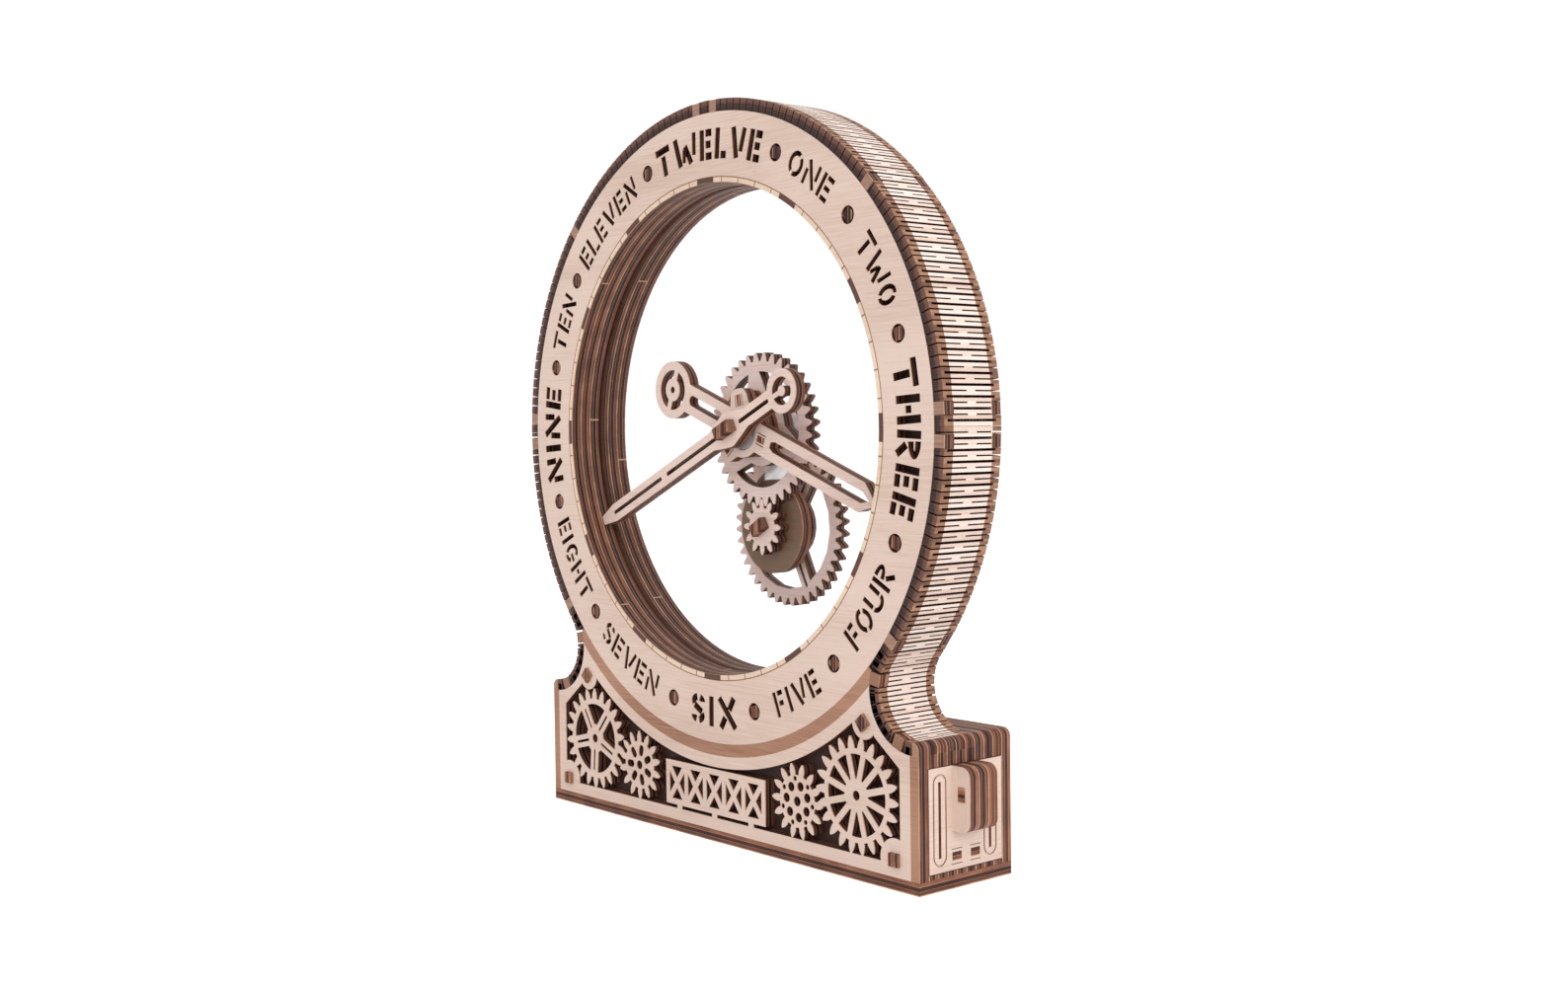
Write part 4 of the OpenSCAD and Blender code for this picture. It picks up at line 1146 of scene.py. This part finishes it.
    def _ring_run(self, first: float, last: float, count: int) -> None:
        """Lays bars round the ring from one joint to the next.

        Args:
            first: Clockwise angle of the first joint, in degrees.
            last: Clockwise angle of the last joint.
            count: How many bars.
        """
        step = (last - first) / count
        reach = math.degrees((self.tab_mm / 2 + self.clear_mm) / (self.outer_mm - SHEET_MM / 2))
        behind = SHEET_MM + self.clear_mm
        between = (behind, self.depth_mm - behind)
        for i in range(count):
            before, after = (math.degrees(self._kerf(k) / self.outer_mm) / 2 for k in (i, i + 1))
            a0 = first + i * step + (before if i else self.joint_gap)
            a1 = first + (i + 1) * step - (after if i < count - 1 else self.joint_gap)
            sides = [side for t in self.tabs for side in (t - reach, t + reach)]
            cuts = sorted({a0, a1, *[side for side in sides if a0 < side < a1]})
            for c0, c1 in zip(cuts, cuts[1:]):
                middle = (c0 + c1) / 2
                low, high = between if self._in_tab(middle, reach) else (0.0, self.depth_mm)
                width = math.radians(c1 - c0) * self.outer_mm
                self._bar(self._on_ring(middle), width, low, high)
            if i:
                joint = first + i * step
                for low, high in self._bridges(i):
                    if self._in_tab(joint, reach):
                        low, high = max(low, between[0]), min(high, between[1])
                    self._bar(self._on_ring(joint), self._kerf(i) + self.laps_mm[0], low, high)

    def _bend_run(self, count: int) -> None:
        """Lays bars through the small bend and to the band's end on the base.

        Args:
            count: How many bars.
        """
        step = self.bend_at / count
        share = 1 / self.plies
        for i in range(count):
            middle = self.bend_at - (i + 0.5) * step
            front = self._bend_front(middle, step)
            for k in range(self.plies):
                radius = self.bend_mm + k * SHEET_MM / self.plies
                width = math.radians(step) * radius - self.kerf_mm
                start = 1 - (k + 1) / self.plies
                self._bar(self._on_bend(middle), width, front, self.depth_mm, start, share)
            joint = self.bend_at - i * step
            place, front = self._on_bend(joint), self._bend_front(joint, step)
            for low, high in self._bridges(i):
                self._bar(place, self.kerf_mm + self.laps_mm[1], max(low, front), high)
            closing = self.kerf_mm + self.laps_mm[2]
            self._bar(place, closing, front, self.depth_mm, 0.0, self.floor_share)

    def _places(self, name: str, side: int) -> bpy.types.Mesh:
        """Turns the noted boxes into vertices with numbers, and clears the list.

        Args:
            name: Name of the mesh.
            side: 1 for the right half, -1 for the left half.

        Returns:
            A mesh of loose vertices.
        """
        points: list[Place] = []
        numbers: dict[str, list[float]] = {
            key: [] for key in ("width", "depth", "turn", "start", "span")
        }
        for x, z, turn, width, low, high, start, span in self._bars:
            sunk = SHEET_MM * (1 - start - span / 2)
            points.append((
                side * (x - sunk * math.sin(turn)) * MM,
                (FRONT_MM + (low + high) / 2) * MM,
                (z - sunk * math.cos(turn)) * MM,
            ))
            row = (width * MM, (high - low) * MM, side * turn, start, span)
            for key, value in zip(numbers, row):
                numbers[key].append(value)
        self._bars.clear()
        mesh = bpy.data.meshes.new(name + "_places")
        mesh.from_pydata(points, [], [])
        for key, values in numbers.items():
            mesh.attributes.new(key, "FLOAT", "POINT").data.foreach_set("value", values)
        return mesh

    def _piece(self, tree: BandBars, finish: bpy.types.Material, word: str, side: int) -> None:
        """Grows one piece of the band and lets it ride on the case.

        Args:
            tree: The tree that sets bars.
            finish: The band's material.
            word: Which of the four pieces.
            side: 1 for the right half, -1 for the left half.
        """
        name = f"slotted_band_{word}"
        places = self._places(name, side)
        made = tree.grow(name, places, SHEET_MM * MM, self.seeds[1] + side, finish)
        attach(made, "case")
        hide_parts(f"band_{word}")
        LOG.info("built %s with %d faces", made.name, len(made.data.polygons))

    def _tabs(self, tree: BandBars, word: str, side: int) -> None:
        """Grows the burnt ends of the front sheet's tabs that reach through the small bend.

        Args:
            tree: The tree that sets bars.
            word: Side of the clock, for the piece's name.
            side: 1 for the right half, -1 for the left half.
        """
        for turn in self.bend_tabs:
            self._bar(self._on_bend(turn), self.tab_mm, 0.0, SHEET_MM)
        name = f"bend_tabs_{word}"
        finish = self.tab_wood.material(FRONT_MM)
        places = self._places(name, side)
        made = tree.grow(name, places, SHEET_MM * MM, self.seeds[0], finish)
        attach(made, "case")
        LOG.info("built %s", made.name)

    def _corner(self, word: str, side: int) -> None:
        """Builds the rounded corner of the base's sheets, where the band ends.

        Args:
            word: Side of the clock, for the piece's name.
            side: 1 for the right half, -1 for the left half.
        """
        x0, z1 = self.bend_centre_mm[0], self.bend_centre_mm[1] - self.bend_mm
        r = min(self.corner_mm, self.end_mm - x0)
        steps = self.corner_steps
        arc = [math.radians(90 - 90 * k / steps) for k in range(steps + 1)]
        outline = [(x0, z1 - SHEET_MM), (x0, z1)]
        outline += [(self.end_mm - r + r * math.cos(a), z1 - r + r * math.sin(a)) for a in arc]
        outline.append((self.end_mm, z1 - SHEET_MM))
        work = bmesh.new()
        front, rear = (
            [work.verts.new((side * x * MM, (FRONT_MM + d) * MM, z * MM)) for x, z in outline]
            for d in (0.0, self.depth_mm)
        )
        work.faces.new(front)
        work.faces.new(reversed(rear))
        for i in range(len(outline)):
            j = (i + 1) % len(outline)
            work.faces.new((front[j], front[i], rear[i], rear[j]))
        mesh = closed_mesh(f"base_corner_{word}", work)
        mesh.materials.append(self.corner_wood.material(FRONT_MM))
        made = placed(mesh.name, mesh)
        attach(made, "case")
        LOG.info("built %s", made.name)

    def build(self) -> None:
        """Builds the band in place of its four plain solids, with its tabs and the corners."""
        tree, finish = BandBars(), BandWood().material()
        upper, lower, bend = self.counts
        for side, word in ((1, "right"), (-1, "left")):
            self._ring_run(0.0, 90.0, upper)
            self._piece(tree, finish, f"upper_{word}", side)
            self._ring_run(90.0, self.bend_at, lower)
            self._bend_run(bend)
            self._piece(tree, finish, f"lower_{word}", side)
            self._tabs(tree, word, side)
            self._corner(word, side)


@dataclass
class Case:
    """Base, ring sheets and what is fixed in them.

    Attributes:
        recess: Veneer behind the fretwork.
        plate: Veneer of the base plate.
        peg: End grain of the dial's pegs.
        tenon: End grain of the base's pegs.
        mark: Veneer of the hour blocks.
        steel: Tone of the pins.
        rim_mm: Radius beyond which the ring's faces are stained.
        segments: Pieces that each sheet of the ring is joined from.
    """

    recess: Tone = (58, 37, 31)
    plate: Tone = (112, 76, 62)
    peg: Tone = (96, 62, 48)
    tenon: Tone = (150, 110, 88)
    mark: Tone = (98, 66, 55)
    steel: Tone = (196, 196, 198)
    rim_mm: float = 78.4
    segments: int = 4

    def dress(self) -> None:
        """Dresses every fixed node."""
        Plywood("pale_ply").dress("back_plate")
        Plywood("fret_ply", darker=0.5).dress("front_fret")
        ring = Plywood("ring_ply", darker=0.55, rim_mm=self.rim_mm, segments=self.segments)
        ring.dress("dial_ring", "ring_rear")
        Plywood("brown_ply", face=STAINED, figure=2.4).dress("fret_inlay")
        Plywood("recess_ply", face=self.recess, darker=0.3).dress("fret_back", "ring_sheet_2")
        Plywood("base_ply", face=BROWN, darker=0.45).dress(
            "base_sheet_3", "base_sheet_4", "base_sheets_5_6", "base_sheets_7_9",
        )
        track = Plywood("track_ply", face=BROWN, darker=0.7, segments=self.segments)
        track.dress("ring_sheet_3", "ring_track", "ring_sheet_5")
        plate = Plywood("plate_ply", face=self.plate, across=Across.Z, darker=0.15)
        plate.dress("base_plate")
        Plywood("peg_ply", face=self.peg, across=Across.X, darker=0.35).dress("dial_pegs")
        Plywood("tenon_ply", face=self.tenon, across=Across.X, darker=-0.4).dress("fret_pegs")
        Plywood("mark_ply", face=self.mark, darker=0.3).dress("hour_marks")
        coat("minute_scale", MinuteScale().material())
        steel = Metal("turned_steel", self.steel).material()
        coat("idler_pin", steel)
        coat("guide_pins", steel)


@dataclass
class Hands:
    """Clear disc, minute hand, hour hand and their arbor.

    Attributes:
        hand: Veneer of both hands.
        arbor: End grain of the arbor and the hour hand's tenons.
        spacer: Veneer of the spacers.
        disc: Tone of the clear disc.
        boss: Tone of the clear bushing.
    """

    hand: Tone = (233, 208, 196)
    arbor: Tone = (134, 96, 78)
    spacer: Tone = (206, 172, 152)
    disc: Tone = (253, 254, 254)
    boss: Tone = (250, 249, 251)

    def dress(self) -> None:
        """Dresses the hands and what turns with them."""
        Plywood("hand_ply", face=self.hand, darker=0.25).dress("minute_hand", "hour_hand")
        Plywood("arbor_ply", face=self.arbor, across=Across.X).dress("main_arbor", "hour_pegs")
        Plywood("spacer_ply", face=self.spacer, darker=0.2).dress(
            "hour_spacer", "arbor_collar", "rear_washer",
        )
        coat("clear_disc", ClearSheet("clear_disc", self.disc, 0.03).material())
        boss = ClearSheet("clear_boss", self.boss, 0.6, 1.2, frost=0.65)
        coat("clear_bushing", boss.material())
        Plywood("rim_ply", face=DARK, darker=0.9).dress("disc_rim")


@dataclass
class GearTrain:
    """Hour wheel, pinions, large gear, hanging link and counterweight.

    Attributes:
        wheel: Veneer of the hour wheel.
        pinion: Veneer of the pinions.
        large_wheel: Veneer of the large gear.
        washer: Veneer of the washer.
        weight: Veneer of the counterweight.
        link: Tone of the clear link.
    """

    wheel: Tone = (234, 211, 204)
    pinion: Tone = (234, 210, 200)
    large_wheel: Tone = (228, 204, 196)
    washer: Tone = (184, 148, 124)
    weight: Tone = (120, 95, 76)
    link: Tone = (250, 249, 251)

    def dress(self) -> None:
        """Dresses the gears and what hangs with them."""
        Plywood("wheel_ply", face=self.wheel, darker=0.7).dress("hour_wheel")
        Plywood("pinion_ply", face=self.pinion, darker=0.6).dress("front_pinion", "rear_pinion")
        Plywood("large_wheel_ply", face=self.large_wheel, darker=0.6).dress("large_gear")
        Plywood("lower_ply", face=DARK, across=Across.X).dress("lower_arbor")
        Plywood("washer_ply", face=self.washer).dress("lower_washer")
        Plywood("weight_ply", face=self.weight, gloss=0.45).dress("counterweight")
        link = ClearSheet("clear_link", self.link, 0.55, 1.2, frost=0.6)
        coat("hanging_link", link.material())


@dataclass
class Drive:
    """Motor, pinions and guides inside the base and ring.

    Attributes:
        ivory: Tone of the moulded gears.
        case: Tone of the motor.
        board: Tone of the driver board.
    """

    ivory: Tone = (228, 222, 208)
    case: Tone = (58, 58, 60)
    board: Tone = (34, 84, 50)

    def dress(self) -> None:
        """Dresses the hidden drive."""
        ivory = Moulded("ivory_gear", self.ivory).material()
        for name in ("idler_gear", "guide_gear_right", "guide_gear_left", "drive_pinion"):
            coat(name, ivory)
        coat("drive_arbor", bpy.data.materials["turned_steel"])
        coat("motor_body", Metal("motor_case", self.case, 0.45, 0.0).material())
        coat("driver_board", Moulded("circuit_board", self.board, 0.35).material())
        Plywood("knob_ply", face=BROWN).dress("setting_knob")


@dataclass(frozen=True)
class CellJacket:
    """A bare generic cell: a two-coloured printed jacket between bright metal ends.

    Attributes:
        cuts: Where the jacket starts, changes colour and ends, as shares of the length.
        dark: Tones of the longer part.
        warm: Tones of the shorter part.
        metal: Tones of the bright ends.
        waves: Waves in a millimetre of the faint marks.
    """

    cuts: Triple = (0.018, 0.70, 0.962)
    dark: tuple[Tone, Tone] = ((44, 46, 52), (58, 60, 66))
    warm: tuple[Tone, Tone] = ((176, 122, 70), (196, 142, 86))
    metal: tuple[Tone, Tone] = ((188, 188, 186), (216, 216, 214))
    waves: Triple = (0.5, 4, 4)

    def material(self, low_mm: float, length_mm: float) -> bpy.types.Material:
        """Makes the material.

        Args:
            low_mm: Where the cell starts, across the clock.
            length_mm: Length of the cell.

        Returns:
            The finished material.
        """
        sh = Shader("cell_jacket")
        start, change, end = self.cuts
        along = sh.sum("DIVIDE", sh.sum("SUBTRACT", sh.along(Across.X), low_mm), length_mm)
        past_start, past_change = (sh.sum("GREATER_THAN", along, at) for at in (start, change))
        jacket = sh.sum("MULTIPLY", past_start, sh.sum("LESS_THAN", along, end))
        marks = sh.noise(self.waves, 3)
        dark, warm, metal = (
            sh.ramp(marks, list(zip((0.3, 0.7), pair)))
            for pair in (self.dark, self.warm, self.metal)
        )
        sh.paint(sh.blend(jacket, metal, sh.blend(past_change, dark, warm)))
        sh.feed(sh.sum("SUBTRACT", 1.0, jacket), sh.surface.inputs["Metallic"])
        sh.set(Roughness=0.32)
        sh.bump(marks, 0.08, 0.02)
        return sh.material


@dataclass
class LathedCell:
    """The battery cell with its rolled rims, shoulder and nub, turned round its long axis.

    Attributes:
        steps: Faces round the cell.
        sharp: Angle between two faces above which their edge stays sharp, in degrees.
        profile: Places along the cell and away from its axis, both from 0 to 1.
    """

    steps: int = 64
    sharp: float = 35
    profile: tuple[Pair, ...] = (
        (0.004, 0.0), (0.004, 0.62), (0.0, 0.68), (0.0, 0.86), (0.004, 0.93),
        (0.012, 0.965), (0.02, 0.97), (0.022, 1.0), (0.955, 1.0), (0.965, 0.985),
        (0.97, 0.93), (0.967, 0.86), (0.963, 0.80), (0.964, 0.44), (0.968, 0.395),
        (0.974, 0.385), (0.992, 0.375), (0.998, 0.34), (1.0, 0.27), (1.0, 0.0),
    )

    def _turned(self, low: Vector, high: Vector) -> bmesh.types.BMesh:
        """Turns the profile round the cell's long axis.

        Args:
            low: Lowest corner of the cell's box, in metres.
            high: Highest corner.

        Returns:
            The closed shape.
        """
        length, radius = high.x - low.x, (high.z - low.z) / 2
        middle_y, middle_z = (low.y + high.y) / 2, (low.z + high.z) / 2
        work = bmesh.new()
        turns = [math.tau * k / self.steps for k in range(self.steps)]
        rings: list[list[bmesh.types.BMVert]] = []
        for along, away in self.profile:
            r = away * radius
            rings.append([
                work.verts.new((
                    low.x + along * length, middle_y + r * math.sin(t), middle_z + r * math.cos(t),
                ))
                for t in (turns if away else [0.0])
            ])
        for first, second in zip(rings, rings[1:]):
            for k in range(self.steps):
                j = (k + 1) % self.steps
                if len(first) == 1:
                    work.faces.new((first[0], second[k], second[j]))
                elif len(second) == 1:
                    work.faces.new((first[j], first[k], second[0]))
                else:
                    work.faces.new((first[j], first[k], second[k], second[j]))
        return work

    def build(self) -> None:
        """Builds the cell in place of its plain solid."""
        low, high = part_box("battery_cell")
        mesh = closed_mesh("lathed_cell", self._turned(low, high))
        mesh.shade_smooth()
        mesh.set_sharp_from_angle(angle=math.radians(self.sharp))
        mesh.materials.append(CellJacket().material(low.x / MM, (high.x - low.x) / MM))
        made = placed(mesh.name, mesh)
        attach(made, "drawer")
        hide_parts("battery_cell")
        LOG.info("built %s with %d faces", made.name, len(mesh.polygons))


@dataclass
class Drawer:
    """Drawer front with its handle, tray, cell and contacts.

    Attributes:
        cross: Veneer of the handle's cross tenon.
        brass: Tone of the contacts.
    """

    cross: Tone = (104, 70, 56)
    brass: Tone = (206, 182, 120)

    def dress(self) -> None:
        """Builds the cell and dresses the drawer's nodes."""
        LathedCell().build()
        coat("drawer_panel", MarkedPanel().material())
        Plywood("cheek_ply", grain=Across.Z).dress("handle_cheeks")
        Plywood("core_ply", face=BROWN, darker=0.3).dress("handle_core")
        Plywood("cross_ply", face=self.cross, across=Across.Z).dress("handle_pin")
        Plywood("tray_ply", across=Across.Z, face=INNER).dress("drawer_floor")
        Plywood("wall_ply", face=INNER).dress("drawer_walls")
        Plywood("end_ply", face=INNER, across=Across.X, grain=Across.Y).dress("drawer_end")
        coat("cell_contacts", Metal("contact_spring", self.brass, 0.25).material())


@dataclass
class Studio:
    """Floor, soft light, white surroundings and the camera.

    Attributes:
        eye_mm: The camera's place.
        azimuth: Angle round the clock, 0 from the front and 90 from the right, in degrees.
        elevation: Angle above the horizon, in degrees.
        roll: Turn about the line of sight, in degrees.
        lens: Focal length for the frame's width.
        frame_width: Width that the focal length is for.
        lamps: Name, place, size and watts of each soft lamp, in metres.
        lit_place: What the lamps look at, in metres.
        world_light: Strength of the surroundings as light.
        world_tone: Their colour as light.
        world_white: Their strength where they are seen.
        floor_tone: Grey of the floor.
        floor_glow: How much brighter it is where it is seen.
        floor_reach: Half the floor's width, in metres.
    """

    eye_mm: Place = (341.2, -283.3, 102.7)
    azimuth: float = 49.37
    elevation: float = 2.02
    roll: float = -0.756
    lens: float = 39.86
    frame_width: float = 36.0
    lamps: tuple[tuple[str, Place, float, float], ...] = (
        ("key", (0.9, -1.0, 1.1), 1.1, 6.5),
        ("side", (1.3, 0.1, 0.5), 0.9, 4),
        ("top", (0.0, 0.2, 1.4), 1.0, 3),
    )
    lit_place: Place = (0, 0, 0.09)
    world_light: float = 0.74
    world_tone: Triple = (1, 0.985, 0.975)
    world_white: float = 1.03
    floor_tone: float = 0.9
    floor_glow: float = 0.5
    floor_reach: float = 6

    def camera(self) -> None:
        """Makes the camera at the photograph's angle."""
        az, el, ro = (math.radians(v) for v in (self.azimuth, self.elevation, self.roll))
        back = Vector((math.sin(az) * math.cos(el), -math.cos(az) * math.cos(el), math.sin(el)))
        right = Vector((math.cos(az), math.sin(az), 0.0))
        up = back.cross(right)
        right, up = (
            right * math.cos(ro) + up * math.sin(ro), up * math.cos(ro) - right * math.sin(ro),
        )
        data = bpy.data.cameras.new("camera")
        data.lens, data.sensor_width, data.clip_start = self.lens, self.frame_width, 0.01
        made = placed("camera", data)
        turn = Matrix((right, up, back)).transposed().to_4x4()
        made.matrix_world = Matrix.Translation(Vector(self.eye_mm) * MM) @ turn
        bpy.context.scene.camera = made

    def lamp(self, name: str, place: Place, size: float, watts: float) -> None:
        """Adds a square soft lamp that looks at the clock's middle.

        Args:
            name: The lamp's name.
            place: Where it is, in metres.
            size: Length of its side, in metres.
            watts: Its power.
        """
        data = bpy.data.lights.new(name, "AREA")
        data.shape, data.size, data.energy = "SQUARE", size, watts
        made = placed(name, data)
        made.location = place
        aim = Vector(place) - Vector(self.lit_place)
        made.rotation_mode = "QUATERNION"
        made.rotation_quaternion = aim.to_track_quat("Z", "Y")

    def seen_directly(self, graph: Graph) -> Socket:
        """1 for rays from the camera, mirrors and clear sheets, else 0.

        Args:
            graph: The node tree that asks.

        Returns:
            The number's output.
        """
        rays = graph.node("ShaderNodeLightPath").outputs
        total = rays["Is Camera Ray"]
        for word in ("Is Glossy Ray", "Is Transmission Ray"):
            total = graph.sum("ADD", total, rays[word], clamp=True)
        return total

    def pick(self, graph: Graph, lighting: Socket, seen: Socket, output: str) -> None:
        """Shows one shader to rays that see it directly, and another to the rest.

        Args:
            graph: The node tree.
            lighting: What lights the clock.
            seen: What is seen.
            output: Name of the tree's last node.
        """
        mix = graph.node("ShaderNodeMixShader")
        for source, socket in zip((self.seen_directly(graph), lighting, seen), mix.inputs):
            graph.feed(source, socket)
        graph.feed(mix.outputs[0], graph.tree.nodes[output].inputs["Surface"])

    def world(self) -> None:
        """Makes white surroundings that light the clock more gently than they look."""
        world = bpy.data.worlds.new("surroundings")
        bpy.context.scene.world = world
        world.use_nodes = True
        graph = Graph(world.node_tree)
        light, white = graph.tree.nodes["Background"], graph.node("ShaderNodeBackground")
        for node, tone, strength in (
            (light, self.world_tone, self.world_light), (white, (1, 1, 1), self.world_white),
        ):
            node.inputs["Color"].default_value = (*tone, 1)
            node.inputs["Strength"].default_value = strength
        self.pick(graph, light.outputs[0], white.outputs[0], "World Output")

    def floor(self) -> None:
        """Makes a wide pale floor that keeps the clock's soft shadow."""
        mesh = bpy.data.meshes.new("floor")
        work = bmesh.new()
        bmesh.ops.create_grid(work, x_segments=2, y_segments=2, size=self.floor_reach)
        work.to_mesh(mesh)
        work.free()
        made = placed("floor", mesh)
        sh = Shader("pale_floor")
        sh.set(Roughness=0.9, Specular_IOR_Level=0.0, Base_Color=(*[self.floor_tone] * 3, 1))
        glow, both = sh.node("ShaderNodeEmission"), sh.node("ShaderNodeAddShader")
        glow.inputs["Strength"].default_value = self.floor_glow
        sh.feed(sh.surface.outputs[0], both.inputs[0])
        sh.feed(glow.outputs[0], both.inputs[1])
        self.pick(sh, sh.surface.outputs[0], both.outputs[0], "Material Output")
        mesh.materials.append(sh.material)

    def build(self) -> None:
        """Sets up everything that is not part of the clock."""
        self.camera()
        self.world()
        self.floor()
        for lamp in self.lamps:
            self.lamp(*lamp)


def main() -> None:
    """Loads the frame, builds and dresses the clock, and sets up the studio."""
    logging.basicConfig(level=logging.INFO, format="%(name)s: %(message)s")
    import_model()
    bpy.context.scene.view_settings.view_transform = "Standard"
    Case().dress()
    BentBand().build()
    Hands().dress()
    GearTrain().dress()
    Drive().dress()
    Drawer().dress()
    Studio().build()


if __name__ == "__main__":
    main()
